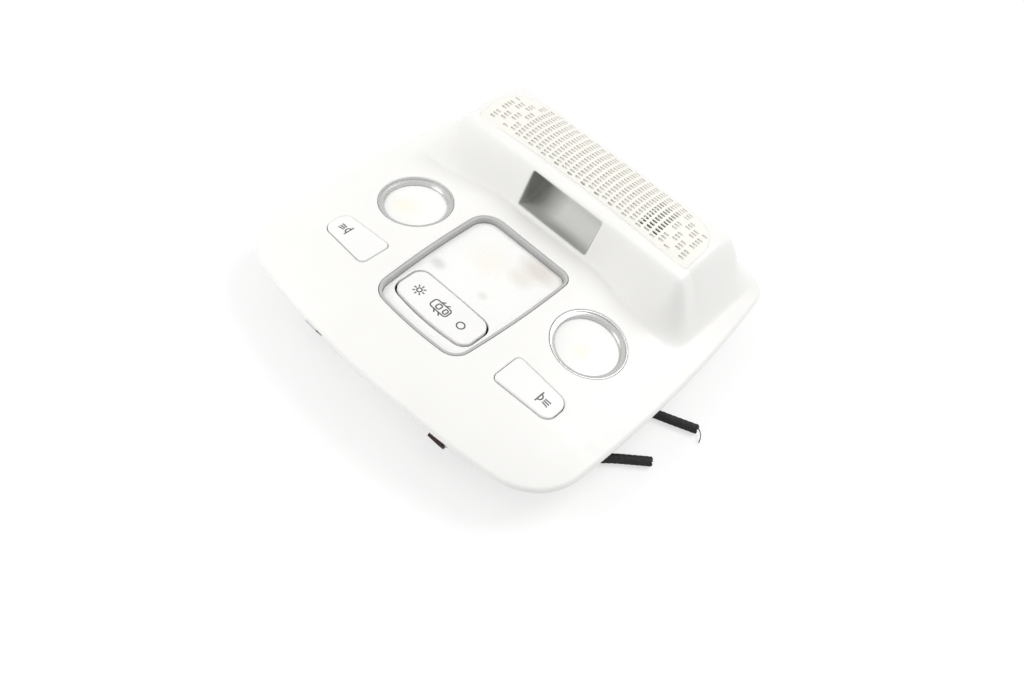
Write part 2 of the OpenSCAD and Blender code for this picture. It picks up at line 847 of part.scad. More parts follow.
module slider() {
  color("whitesmoke")
    difference() {
      translate([-8, rocker_mid_y - slider_w / 2, slider_z])
        cube([16, slider_w, pivot_z - lever_l + 1.6 - slider_z]);
      translate([-1.55, rocker_mid_y - 2.9, slider_z + 1])
        cube([3.1, 5.8, 9]);
    }
}

module button(side) {
  color("white")
    wing(side)
      difference() {
        translate([0, 0, -6])
          linear_extrude(6 + button_proud)
            button_shape(0);
        translate([0, 0, -7])
          linear_extrude(7 + button_proud - cap_t)
            button_shape(-1.4);
      }
}

module plunger(side) {
  color("whitesmoke")
    wing(side)
      translate([(button_mid_x - crease_x) / cos(wing_tilt), button_mid_y, -plunger_end])
        union() {
          cylinder(h = plunger_end + button_proud - cap_t, r = plunger_r);
          translate([0, 0, plunger_end + button_proud - cap_t - 1.2])
            cylinder(h = 1.2, r = plunger_r + 2.4);
        }
}

module switch_body(side) {
  color("dimgray")
    difference() {
      translate([side * switch_x - 6, button_mid_y - 6, board_top])
        cube([12, 12, switch_h]);
      wing(side)
        translate([(button_mid_x - crease_x) / cos(wing_tilt), button_mid_y, -plunger_end - 2])
          cylinder(h = 20, r = plunger_r + 0.4);
    }
}

module circuit_board() {
  color("darkgreen")
    difference() {
      translate([-62, housing_front_y + housing_wall + 1, board_z])
        cube([124, -33 - housing_front_y - housing_wall - 1, board_t]);
      for (s = [-1, 1])
        translate([s * 30, rocker_mid_y, board_z - 1])
          cylinder(h = board_t + 2, r = 1.6);
    }
}

module board_parts() {
  color("black")
    union() {
      for (x = [-34, -24, 22, 33])
        translate([x, -44, board_top])
          cube([3.4, 1.8, 1.1]);
      translate([18, -58, board_top])
        cube([10, 6, 1.8]);
      for (x = [-38, 38])
        translate([x, -52, board_top])
          cylinder(h = 6, r = 3);
      translate([-24, -60, board_top])
        cube([8, 5, 5]);
    }
}

// Sprung brass strips from the board to the bulb holders
module contact_strips() {
  color("goldenrod")
    for (s = [-1, 1]) {
      translate([s * 52 - 2, -40, board_z - 0.6])
        cube([4, 22.4, 0.6]);
      translate([s * 14 - 2, -40, board_z - 0.6])
        cube([4, 34, 0.6]);
    }
}

// Tray-shaped housing behind the face
module back_housing() {
  depth = housing_rear_y - housing_front_y;
  mid_y = (housing_rear_y + housing_front_y) / 2;
  color("gray")
    difference() {
      union() {
        translate([0, mid_y, 0])
          difference() {
            rounded_block(housing_w, depth, housing_h, 4);
            translate([0, 0, housing_wall])
              rounded_block(housing_w - 2 * housing_wall, depth - 2 * housing_wall, 40, 3);
          }
        for (s = [-1, 1]) {
          translate([s * screw_front_x, screw_front_y, 1])
            cylinder(h = boss_low - 1, r = pillar_r);
          translate([s * screw_rear_x, screw_rear_y, 1])
            cylinder(h = boss_low - 1, r = pillar_r);
          translate([s * 52 - 4, -26, 1])
            cube([8, 3, board_z - 1.6]);
          translate([s * 14 - 4, -26, 1])
            cube([8, 3, board_z - 1.6]);
          for (x = [20, 58])
            translate([s * x - 1, housing_front_y + 1, 1])
              cube([2, 32, board_z - 1]);
          translate([s * 23 - 1, -30, 1])
            cube([2, 37, board_z]);
        }
      }
      for (s = [-1, 1]) {
        translate([s * screw_front_x, screw_front_y, -1])
          cylinder(h = 20, r = screw_r + 0.3);
        translate([s * screw_front_x, screw_front_y, -1])
          cylinder(h = 4.4, r = screw_r * 2);
        translate([s * screw_rear_x, screw_rear_y, -1])
          cylinder(h = 20, r = screw_r + 0.3);
        translate([s * screw_rear_x, screw_rear_y, -1])
          cylinder(h = 4.4, r = screw_r * 2);
        translate([s * (lamp_x - holder_low * sin(wing_tilt)), lamp_y, -1])
          cylinder(h = 9, r = holder_r + 2.4);
      }
      translate([plug_x - plug_w / 2 - 1.3, housing_rear_y - 6, housing_wall])
        cube([plug_w + 2.6, 12, plug_h + 2.4 + fit]);
      for (y = [-2, -44.5])
        translate([housing_w / 2 - 6, y, cable_exit_z])
          rotate([0, 90, 0])
            cylinder(h = 12, r = 3.4);
    }
}

module connector_header() {
  color("ivory")
    difference() {
      translate([plug_x - plug_w / 2 - 1.2, housing_rear_y - 4, housing_wall])
        cube([plug_w + 2.4, plug_depth + 4, plug_h + 2.4]);
      translate([plug_x - plug_w / 2, housing_rear_y, housing_wall + 1.2])
        cube([plug_w, plug_depth + 1, plug_h]);
    }
}

module connector_pins() {
  color("gold")
    for (i = [-2:2])
      translate([plug_x + i * 3.4 - 0.4, housing_rear_y, housing_wall + 1.2 + plug_h / 2 - 0.4])
        cube([0.8, 8, 0.8]);
}

module screw_at(x, y) {
  translate([x, y, 0.9])
    difference() {
      union() {
        cylinder(h = 2.5, r = screw_r * 1.8);
        cylinder(h = 22, r = screw_r);
      }
      translate([0, 0, -1])
        cylinder(h = 2.2, r = screw_r * 0.8, $fn = 6);
    }
}

module housing_screws() {
  color("silver")
    for (s = [-1, 1]) {
      screw_at(s * screw_front_x, screw_front_y);
      screw_at(s * screw_rear_x, screw_rear_y);
    }
}

// Steel clip bent round the end of a clip tower
module clip_at(x, y) {
  half = tower_t / 2 + 0.02;
  out = half + 3.4;
  translate([x - 3.5, y, tower_low])
    rotate([90, 0, 90])
      linear_extrude(7)
        polygon([[-half - clip_t, -clip_t], [half + clip_t, -clip_t], [out + clip_t, 5.5],
          [half + clip_t, 11], [half, 11], [out, 5.5], [half, 0], [-half, 0], [-out, 5.5],
          [-half, 11], [-half - clip_t, 11], [-out - clip_t, 5.5]]);
}

module front_clips() {
  color("silver")
    for (s = [-1, 1])
      clip_at(s * clip_front_x, clip_front_y);
}

module rear_clips() {
  color("silver")
    for (s = [-1, 1])
      clip_at(s * clip_rear_x, clip_rear_y);
}

module grommets() {
  color("black")
    for (y = [-2, -44.5])
      translate([housing_w / 2 - housing_wall / 2, y, cable_exit_z])
        rotate([0, 90, 0])
          rotate_extrude()
            polygon([[cable_d / 2 + 0.1, -2.2], [4.3, -2.2], [4.3, -1.15], [3.3, -1.15],
              [3.3, 1.15], [4.3, 1.15], [4.3, 2.2], [cable_d / 2 + 0.1, 2.2]]);
}

// Round cable swept along a row of points
module tube(path, d) {
  n = 10;
  count = len(path);
  dirs = [for (i = [0:count - 1])
    path[min(i + 1, count - 1)] - path[max(i - 1, 0)]];
  rings = [for (i = [0:count - 1])
    let (t = dirs[i] / norm(dirs[i]), s = cross(t, [0, 0, 1]), u = s / norm(s), v = cross(u, t))
    for (k = [0:n - 1])
      path[i] + d / 2 * (u * cos(36 * k + 18) + v * sin(36 * k + 18))];
  walls = [for (i = [0:count - 2]) for (k = [0:n - 1])
    [i * n + k, i * n + (k + 1) % n, (i + 1) * n + (k + 1) % n, (i + 1) * n + k]];
  ends = [[for (k = [n - 1:-1:0]) k], [for (k = [0:n - 1]) (count - 1) * n + k]];
  polyhedron(rings, concat(walls, ends));
}

module cable_upper() {
  color("black")
    tube([[69, -2, 6.6], [78, -2, 6.6], [84, 1, 4.6], [90, 4.8, 2.6], [97, 8, 2.4],
      [104, 11.2, 2.4], [110, 14, 2.4]], cable_d);
}

module cable_lower() {
  color("black")
    tube([[69, -44.5, 6.6], [78, -44.5, 6.6], [83, -40, 4.6], [88, -34, 2.6], [94, -27.5, 2.4],
      [100, -21.8, 2.4], [106, -16.2, 2.4]], cable_d);
}

fascia();
grille();
acoustic_felt();
microphone();
blank_tray();
courtesy_lens();
lamp_ring(-1);  // lamp_ring_left
lamp_ring(1);  // lamp_ring_right
reading_lens(-1);  // reading_lens_left
reading_lens(1);  // reading_lens_right
reflector(-1);  // reflector_left
reflector(1);  // reflector_right
reflector_centre();
bulb(-1);  // bulb_left
bulb(1);  // bulb_right
bulb_centre();
bulb_holder(-1);  // bulb_holder_left
bulb_holder(1);  // bulb_holder_right
bulb_holder_centre();
rocker();
rocker_frame();
slider();
button(-1);  // button_left
button(1);  // button_right
plunger(-1);  // plunger_left
plunger(1);  // plunger_right
switch_body(-1);  // switch_body_left
switch_body(1);  // switch_body_right
circuit_board();
board_parts();
contact_strips();
back_housing();
connector_header();
connector_pins();
housing_screws();
front_clips();
rear_clips();
grommets();
cable_upper();
cable_lower();
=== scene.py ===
"""Dresses the front roof console of a car: lamps, switches, curved grille and cable ends.

Lengths are millimetres in the model's own frame, and turn into metres only when a mesh is made.
The console lies on its back with its face up: +X runs from the left reading light to the right
one, +Y towards the grille and +Z out of the face.
"""
import json
import logging
import math
from dataclasses import dataclass, field
from enum import Enum
from typing import Callable, Optional, Sequence

import bpy
import numpy as np
from mathutils import Matrix, Vector
from mathutils.geometry import delaunay_2d_cdt


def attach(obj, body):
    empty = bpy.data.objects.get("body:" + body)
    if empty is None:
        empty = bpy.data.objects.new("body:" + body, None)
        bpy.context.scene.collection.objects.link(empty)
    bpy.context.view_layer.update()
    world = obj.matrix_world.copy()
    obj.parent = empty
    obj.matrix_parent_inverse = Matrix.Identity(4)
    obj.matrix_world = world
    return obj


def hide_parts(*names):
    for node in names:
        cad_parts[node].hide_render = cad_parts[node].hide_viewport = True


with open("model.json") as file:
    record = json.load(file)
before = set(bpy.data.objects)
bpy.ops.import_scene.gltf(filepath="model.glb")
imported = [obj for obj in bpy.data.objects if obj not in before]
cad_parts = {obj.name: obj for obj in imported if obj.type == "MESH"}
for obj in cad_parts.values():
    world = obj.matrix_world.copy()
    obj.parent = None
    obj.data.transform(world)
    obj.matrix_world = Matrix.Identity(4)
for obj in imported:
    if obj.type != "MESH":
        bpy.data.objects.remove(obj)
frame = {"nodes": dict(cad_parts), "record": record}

LOG = logging.getLogger("console")
MM = 0.001
SHARP_EDGE = math.radians(38)
TINY = 1e-12
SAME_POINT = 1e-7
ROWS_MEET = 0.02
POINTS_AT_ONCE = 4000
LEAST_POINTS = 8
STRAIGHT_POINTS = 9
BOW_POINTS = 41
SIDE_POINTS = 60
ARC_POINTS = 80
WALL_SAMPLES = 400
CORNER_SPANS = 24
CLEAR_OF_LOOP = 0.6
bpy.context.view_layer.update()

Array = np.ndarray
Colour = tuple[float, float, float]
Material = bpy.types.Material
Object = bpy.types.Object
Tree = bpy.types.NodeTree
Socket = bpy.types.NodeSocket
Span = tuple[float, float]


class Side(Enum):
    """The two ends of the console, by the sign of X."""

    LEFT = -1
    RIGHT = 1


class Sign(Enum):
    """The printed signs on the switches."""

    SUN = "sun"
    CAR = "open_car"
    RING = "ring"
    LAMP = "lamp"


def soft_step(t: Array) -> Array:
    """Step from 0 to 1 as t goes from 0 to 1: three t squared less two t cubed.

    Args:
        t: where each point lies across the step.

    Returns:
        The height of the step at each point.
    """
    u = np.clip(t, 0.0, 1.0)
    return u * u * (3 - 2 * u)


def soft_fall(t: Array, r: float) -> Array:
    """Zero, then a slope of one, with a parabola between them over a width of 2 r.

    Args:
        t: distance past the crease.
        r: half the width of the rounded part.

    Returns:
        The fall at each point.
    """
    return np.where(t < -r, 0.0, np.where(t > r, t, (t + r) ** 2 / (4 * r)))


def bow_radius(half: float, bow: float) -> float:
    """Radius of an arc over a half chord: (half squared + bow squared) over twice the bow."""
    return (half * half + bow * bow) / (2 * bow)


def full_turn(count: int) -> Array:
    """Angles that share a full turn evenly."""
    return np.arange(count) * 2 * math.pi / count


def on_circle(angle: Array) -> Array:
    """Points of the unit circle: (cosine, sine) of each angle."""
    return np.column_stack([np.cos(angle), np.sin(angle)])


def lifted(plan: Array, height: float | Array) -> Array:
    """Plan points set at one height, or each at its own."""
    return np.column_stack([plan, np.broadcast_to(height, len(plan))])


def rectangle(x0: float, y0: float, x1: float, y1: float) -> list[list[float]]:
    """Corners of a rectangle, anticlockwise from the lower left."""
    return [[x0, y0], [x1, y0], [x1, y1], [x0, y1]]


def crossing(a: Array, ra: float, b: Array, rb: float, hint: Array) -> Array:
    """Finds where two circles cross.

    Args:
        a: centre of the first circle.
        ra: its radius.
        b: centre of the second circle.
        rb: its radius.
        hint: a point near the crossing that is wanted.

    Returns:
        The crossing.
    """
    gap = np.linalg.norm(b - a)
    along = (gap * gap + ra * ra - rb * rb) / (2 * gap)
    off = math.sqrt(max(ra * ra - along * along, 0))
    e = (b - a) / gap
    choices = [a + along * e + s * off * np.array([-e[1], e[0]]) for s in (-1, 1)]
    return min(choices, key=lambda p: np.linalg.norm(p - hint))


def unit(vectors: Array) -> Array:
    """Vectors divided by their own lengths."""
    return vectors / np.maximum(np.linalg.norm(vectors, axis=-1, keepdims=True), TINY)


def arc_between(start: Array, corner: Array, end: Array, steps: int) -> Array:
    """Arcs tangent to both legs of a corner, as rational quadratic curves.

    A point at t is ((1-t)^2 start + 2 w t (1-t) corner + t^2 end) over the sum of its weights,
    where w is the sine of half the angle at the corner, so equal legs give a true circle.

    Args:
        start: where each arc leaves the first leg.
        corner: the corner itself.
        end: where each arc joins the second leg.
        steps: number of spans along an arc.

    Returns:
        steps + 1 rows of points.
    """
    cosine = np.sum(unit(start - corner) * unit(end - corner), axis=-1, keepdims=True)
    weight = np.sqrt(np.clip((1 - cosine) / 2, 0.0, 1.0))
    t = np.linspace(0, 1, steps + 1).reshape((-1,) + (1,) * start.ndim)
    middle = 2 * weight * t * (1 - t)
    total = (1 - t) ** 2 + middle + t * t
    return ((1 - t) ** 2 * start + middle * corner + t * t * end) / total


def run_along(line: Array) -> Array:
    """Distance along a line to each of its points."""
    return np.concatenate([[0.0], np.cumsum(np.linalg.norm(np.diff(line, axis=0), axis=1))])


def sampled(line: Array, known: Array, wanted: Array) -> Array:
    """Points of a line, interpolated at wanted distances from the known ones."""
    return np.column_stack([np.interp(wanted, known, column) for column in line.T])


def spaced(loop: Array, step: float) -> Array:
    """A closed line with its points spread evenly along it.

    Args:
        loop: points of the closed line.
        step: distance wanted between points.

    Returns:
        The new points.
    """
    closed = np.vstack([loop, loop[:1]])
    along = run_along(closed)
    count = max(int(round(along[-1] / step)), LEAST_POINTS)
    return sampled(closed, along, np.arange(count) * along[-1] / count)


def joined(sides: Sequence[Array], radii: Sequence[float], step: float) -> Array:
    """Closed outline from open sides, with an arc rolled into the corner where each side starts.

    Args:
        sides: open lines in anticlockwise order, each from one corner to the next.
        radii: radius of the corner at the start of each side.
        step: distance wanted between points.

    Returns:
        The outline, anticlockwise.
    """

    def cut(side: Array, begin: float, end: float) -> Array:
        """A side without its two ends, of the lengths given."""
        along = run_along(side)
        return sampled(side, along, np.linspace(begin, along[-1] - end, SIDE_POINTS))

    count = len(sides)
    reach = []
    for i in range(count):
        before = unit(sides[i - 1][-2] - sides[i][0])
        after = unit(sides[i][1] - sides[i][0])
        half = math.acos(float(np.clip(before @ after, -1, 1))) / 2
        reach.append(radii[i] / math.tan(half))
    trimmed = [cut(sides[i], reach[i], reach[(i + 1) % count]) for i in range(count)]
    line = []
    for i in range(count):
        line.append(arc_between(trimmed[i - 1][-1], sides[i][0], trimmed[i][0], CORNER_SPANS))
        line.append(trimmed[i][1:-1])
    return spaced(np.vstack(line), step)


def straight(a: Sequence[float], b: Sequence[float]) -> Array:
    """A straight side from a to b."""
    return np.linspace(a, b, STRAIGHT_POINTS)


def polygon(corners: Sequence[Sequence[float]], radii: Sequence[float], step: float) -> Array:
    """Outline of a polygon with round corners.

    Args:
        corners: its corners, anticlockwise.
        radii: radius of each corner.
        step: distance wanted between points.

    Returns:
        The outline, anticlockwise.
    """
    around = [*corners[1:], corners[0]]
    return joined([straight(a, b) for a, b in zip(corners, around)], radii, step)


def bowed_front(half: float, y: float, bow: float) -> Array:
    """A front side from -half to half that bows out by a parabola: y - bow (1 - t squared)."""
    t = np.linspace(-1, 1, BOW_POINTS)
    return np.column_stack([half * t, y - bow * (1 - t * t)])


def closed_behind(front: Array, rear_y: float, radii: Sequence[float], step: float) -> Array:
    """Outline of a front side that is closed by straight ends and a straight rear.

    Args:
        front: the front side, from left to right.
        rear_y: where the rear lies.
        radii: radius of each corner, anticlockwise from the front left.
        step: distance wanted between points.

    Returns:
        The outline, anticlockwise.
    """
    half, front_y = front[-1]
    corners = [[half, front_y], [half, rear_y], [-half, rear_y], [-half, front_y]]
    return joined([front] + [straight(a, b) for a, b in zip(corners, corners[1:])], radii, step)


def grown(loop: Array, distance: float) -> Array:
    """An anticlockwise loop moved outwards by a distance along its own normals."""
    tangent = unit(np.roll(loop, -1, axis=0) - np.roll(loop, 1, axis=0))
    return loop + distance * np.column_stack([tangent[:, 1], -tangent[:, 0]])


def carried_frame(path: Array, up: Array, closed: bool = False) -> tuple[Array, Array, Array]:
    """Directions along a path: ahead, across it, and square to both.

    Ahead is the difference of a point's neighbours and across is ahead crossed with up, each
    over its own length. The third is across crossed with ahead.

    Args:
        path: points of the path.
        up: one direction, or one for each point.
        closed: whether the path closes on itself.

    Returns:
        The three directions at each point.
    """
    if closed:
        after, before = np.roll(path, -1, axis=0), np.roll(path, 1, axis=0)
    else:
        after = np.vstack([path[1:], 2 * path[-1] - path[-2]])
        before = np.vstack([2 * path[0] - path[1], path[:-1]])
    ahead = unit(after - before)
    side = unit(np.cross(ahead, np.broadcast_to(up, path.shape)))
    return ahead, side, np.cross(side, ahead)


def within(points: Array, loop: Array) -> Array:
    """Whether points lie inside a loop: a ray along +X crosses it an odd number of times.

    Args:
        points: plan points to test.
        loop: closed line.

    Returns:
        One truth value for each point.
    """
    inside = np.zeros(len(points), bool)
    low, high = loop.min(axis=0), loop.max(axis=0)
    near = np.flatnonzero(np.all((points >= low) & (points <= high), axis=1))
    ax, ay = loop.T
    bx, by = np.roll(loop, -1, axis=0).T
    rise = np.where(by == ay, TINY, by - ay)
    for block in np.array_split(near, len(near) // POINTS_AT_ONCE + 1):
        x, y = points[block, 0:1], points[block, 1:2]
        crossed = (ay > y) != (by > y)
        hits = crossed & (x < ax + (y - ay) / rise * (bx - ax))
        inside[block] = hits.sum(axis=1) % 2 == 1
    return inside


@dataclass(frozen=True)
class Trimmed:
    """A plan cut into triangles: its points, its triangles, and the places of each loop in them."""

    points: Array
    triangles: Array
    loops: list[Array]


def trimmed_plan(outer: Array, holes: Sequence[Array], spacing: float) -> Trimmed:
    """Triangles that fill a loop but not its holes, on a staggered lattice of points.

    Args:
        outer: outline of the sheet, anticlockwise.
        holes: outlines of its openings, anticlockwise.
        spacing: distance between neighbours in the lattice.

    Returns:
        The triangulated plan.
    """
    low, high = outer.min(axis=0), outer.max(axis=0)
    row_gap = spacing * math.sqrt(3) / 2
    columns = np.arange(low[0], high[0] + spacing, spacing)
    rows = np.arange(low[1], high[1] + row_gap, row_gap)
    x, y = np.meshgrid(columns, rows)
    x = x + (np.arange(len(rows)) % 2 * spacing / 2)[:, None]
    lattice = np.column_stack([x.ravel(), y.ravel()])
    clear = CLEAR_OF_LOOP * spacing
    lattice = lattice[within(lattice, grown(outer, -clear))]
    for hole in holes:
        lattice = lattice[~within(lattice, grown(hole, clear))]
    loops, start = [], 0
    for loop in (outer, *holes):
        loops.append(np.arange(start, start + len(loop)))
        start += len(loop)
    points = np.vstack([outer, *holes, lattice])
    edges = np.vstack([np.column_stack([ring, np.roll(ring, -1)]) for ring in loops])
    found = delaunay_2d_cdt(points.tolist(), edges.tolist(), [], 0, SAME_POINT)
    placed = np.array([tuple(p) for p in found[0]])
    if len(placed) != len(points):
        raise ValueError(f"the plan's loops cross at {placed[len(points):].round(2).tolist()}")
    triangles = np.array(found[2])
    on_loops = np.flatnonzero((triangles < start).all(axis=1))
    centres = points[triangles[on_loops]].mean(axis=1)
    keep = within(centres, outer)
    for hole in holes:
        keep &= ~within(centres, hole)
    triangles = np.delete(triangles, on_loops[~keep], axis=0)
    a, b, c = (points[triangles[:, k]] for k in range(3))
    (ux, uy), (vx, vy) = (b - a).T, (c - a).T
    turn = ux * vy - uy * vx
    triangles[turn < 0] = triangles[turn < 0][:, ::-1]
    return Trimmed(points, triangles, loops)


def rolled(corners: Sequence[Array], cuts: Sequence[float], steps: int = 4) -> Array:
    """A section drawn through corner points, with each inner corner rolled into an arc.

    Args:
        corners: rows of points, one row for each corner of the section.
        cuts: for each inner corner, how far from it the arc starts on both legs; zero keeps it.
        steps: number of spans along an arc.

    Returns:
        All the rows of the section, from the first corner to the last.
    """
    rows = [corners[0][None]]
    for before, corner, after, cut in zip(corners, corners[1:], corners[2:], cuts):
        if cut == 0:
            rows.append(corner[None])
            continue
        begin = corner + unit(before - corner) * cut
        finish = corner + unit(after - corner) * cut
        arc = arc_between(begin, corner, finish, steps)
        close = np.linalg.norm(arc[0] - rows[-1][-1], axis=-1).max() < ROWS_MEET
        rows.append(arc[1:] if close else arc)
    rows.append(corners[-1][None])
    return np.concatenate(rows)


def put(name: str, data: bpy.types.ID) -> Object:
    """Puts a mesh, a lamp or a camera into the scene.

    Args:
        name: name of the object.
        data: what it shows.

    Returns:
        The new object.
    """
    thing = bpy.data.objects.new(name, data)
    bpy.context.scene.collection.objects.link(thing)
    return thing


class Shell:
    """Points and faces of one piece, gathered as whole arrays, in millimetres."""

    def __init__(self) -> None:
        """Starts with nothing in it."""
        self._points: list[Array] = []
        self._faces: list[Array] = []
        self._count = 0

    def add(self, points: Array) -> Array:
        """Adds points.

        Args:
            points: the points, in any arrangement.

        Returns:
            Their places, in the same arrangement.
        """
        flat = points.reshape(-1, 3)
        places = self._count + np.arange(len(flat))
        self._points.append(flat)
        self._count += len(flat)
        return places.reshape(points.shape[:-1])

    def face(self, places: Array, flipped: bool = False) -> None:
        """Adds faces, one for each row of places."""
        self._faces.append(places[:, ::-1] if flipped else places)

    def bridge(self, low: Array, high: Array, closed: bool = True, flipped: bool = False) -> None:
        """Adds the faces between two rows of places: low, next low, next high, high.

        Args:
            low: places of the first row, or of several.
            high: places of the second row, or of several.
            closed: whether each row closes on itself.
            flipped: turns the faces over.
        """
        if closed:
            quads = [low, np.roll(low, -1, axis=-1), np.roll(high, -1, axis=-1), high]
        else:
            quads = [low[..., :-1], low[..., 1:], high[..., 1:], high[..., :-1]]
        self.face(np.stack(quads, axis=-1).reshape(-1, 4), flipped)

    def sheet(self, plan: Trimmed, surface: Array, flipped: bool = False) -> list[Array]:
        """Adds a trimmed sheet.

        Args:
            plan: the triangulated plan.
            surface: the place in space of each point of the plan.
            flipped: whether the sheet faces down.

        Returns:
            The places of its loops, the outline first.
        """
        places = self.add(surface)
        self.face(places[plan.triangles], flipped)
        return [places[loop] for loop in plan.loops]

    def carry(self, rows: Array, first: Optional[Array] = None, last: Optional[Array] = None,
              outward: bool = False, closed: bool = True) -> Array:
        """Joins rows of points into a wall, one span of faces between each row and the next.

        Args:
            rows: rows of points, of shape (rows, points, 3).
            first: places to use for the first row instead of new ones.
            last: places to use for the last row instead of new ones.
            outward: turns the faces over, as round an outline rather than a hole.
            closed: whether each row closes on itself.

        Returns:
            The places of all the rows.
        """
        inner = rows[(first is not None):len(rows) - (last is not None)]
        grid = self.add(inner)
        if first is not None:
            grid = np.vstack([first[None], grid])
        if last is not None:
            grid = np.vstack([grid, last[None]])
        self.bridge(grid[:-1], grid[1:], closed, outward)
        return grid

    def capped(self, rows: Array) -> None:
        """Joins rows of points into a wall and closes it at both ends with a flat face.

        Args:
            rows: rows of points, of shape (rows, points, 3).
        """
        grid = self.carry(rows, outward=True)
        self.face(grid[:1])
        self.face(grid[-1:], flipped=True)

    def revolve(self, section: Array, turns: int, place: Callable[[Array], Array]) -> None:
        """Adds a closed section turned round the Z axis: (r cos a, r sin a, z).

        Args:
            section: closed section as (r, z), anticlockwise with r to the right.
            turns: number of spans round the axis.
            place: carries the turned points to where they belong.
        """
        angle = full_turn(turns)
        r, z = section[:, 0:1], section[:, 1:2]
        rings = np.stack([r * np.cos(angle), r * np.sin(angle), z + 0 * angle], axis=-1)
        grid = self.add(place(rings))
        self.bridge(grid, np.roll(grid, -1, axis=0))

    def prism(self, outline: Array, low: float | Array, high: float | Array, bevel: float = 0.3,
              place: Callable[[Array], Array] = lambda p: p) -> None:
        """Adds a solid between two heights over an outline, with its edges rolled.

        Args:
            outline: anticlockwise plan outline.
            low: height of the bottom at each point, or one height.
            high: height of the top at each point, or one height.
            bevel: size of the rolled edges.
            place: carries the points to where they belong.
        """
        inset = grown(outline, -bevel)
        corners = [lifted(inset, high), lifted(outline, high), lifted(outline, low),
                   lifted(inset, low)]
        self.capped(place(rolled(corners, [bevel, bevel], 3)))

    def sweep(self, path: Array, section: Array, up: Array, closed: bool = False) -> None:
        """Carries a section along a path: each point is path + side a + up b.

        Args:
            path: points of the path.
            section: closed section as (a, b), anticlockwise when seen against the path.
            up: one direction, or one for each point, that b follows.
            closed: whether the path closes on itself.
        """
        _, side, top = carried_frame(path, up, closed)
        a, b = section[:, 0], section[:, 1]
        rows = path[:, None] + side[:, None] * a[:, None] + top[:, None] * b[:, None]
        if closed:
            grid = self.add(rows)
            self.bridge(grid, np.roll(grid, -1, axis=0), flipped=True)
        else:
            self.capped(rows)

    def mirrored(self) -> "Shell":
        """Mirrors the shell in X, with its faces turned back the right way.

        Returns:
            The mirrored shell.
        """
        other = Shell()
        other._points = [points * np.array([-1, 1, 1]) for points in self._points]
        other._faces = [faces[:, ::-1] for faces in self._faces]
        other._count = self._count
        return other

    def piece(self, name: str, material: Material) -> Object:
        """Makes the object, in metres, with smooth faces and sharp edges kept sharp.

        Args:
            name: name of the object.
            material: its finish.

        Returns:
            The new object.
        """
        mesh = bpy.data.meshes.new(name)
        faces = [row for part in self._faces for row in part.tolist()]
        mesh.from_pydata((np.vstack(self._points) * MM).tolist(), [], faces)
        mesh.validate()
        mesh.shade_smooth()
        mesh.set_sharp_from_angle(angle=SHARP_EDGE)
        mesh.materials.append(material)
        LOG.info("%s: %d points, %d faces", name, self._count, len(faces))
        return put(name, mesh)


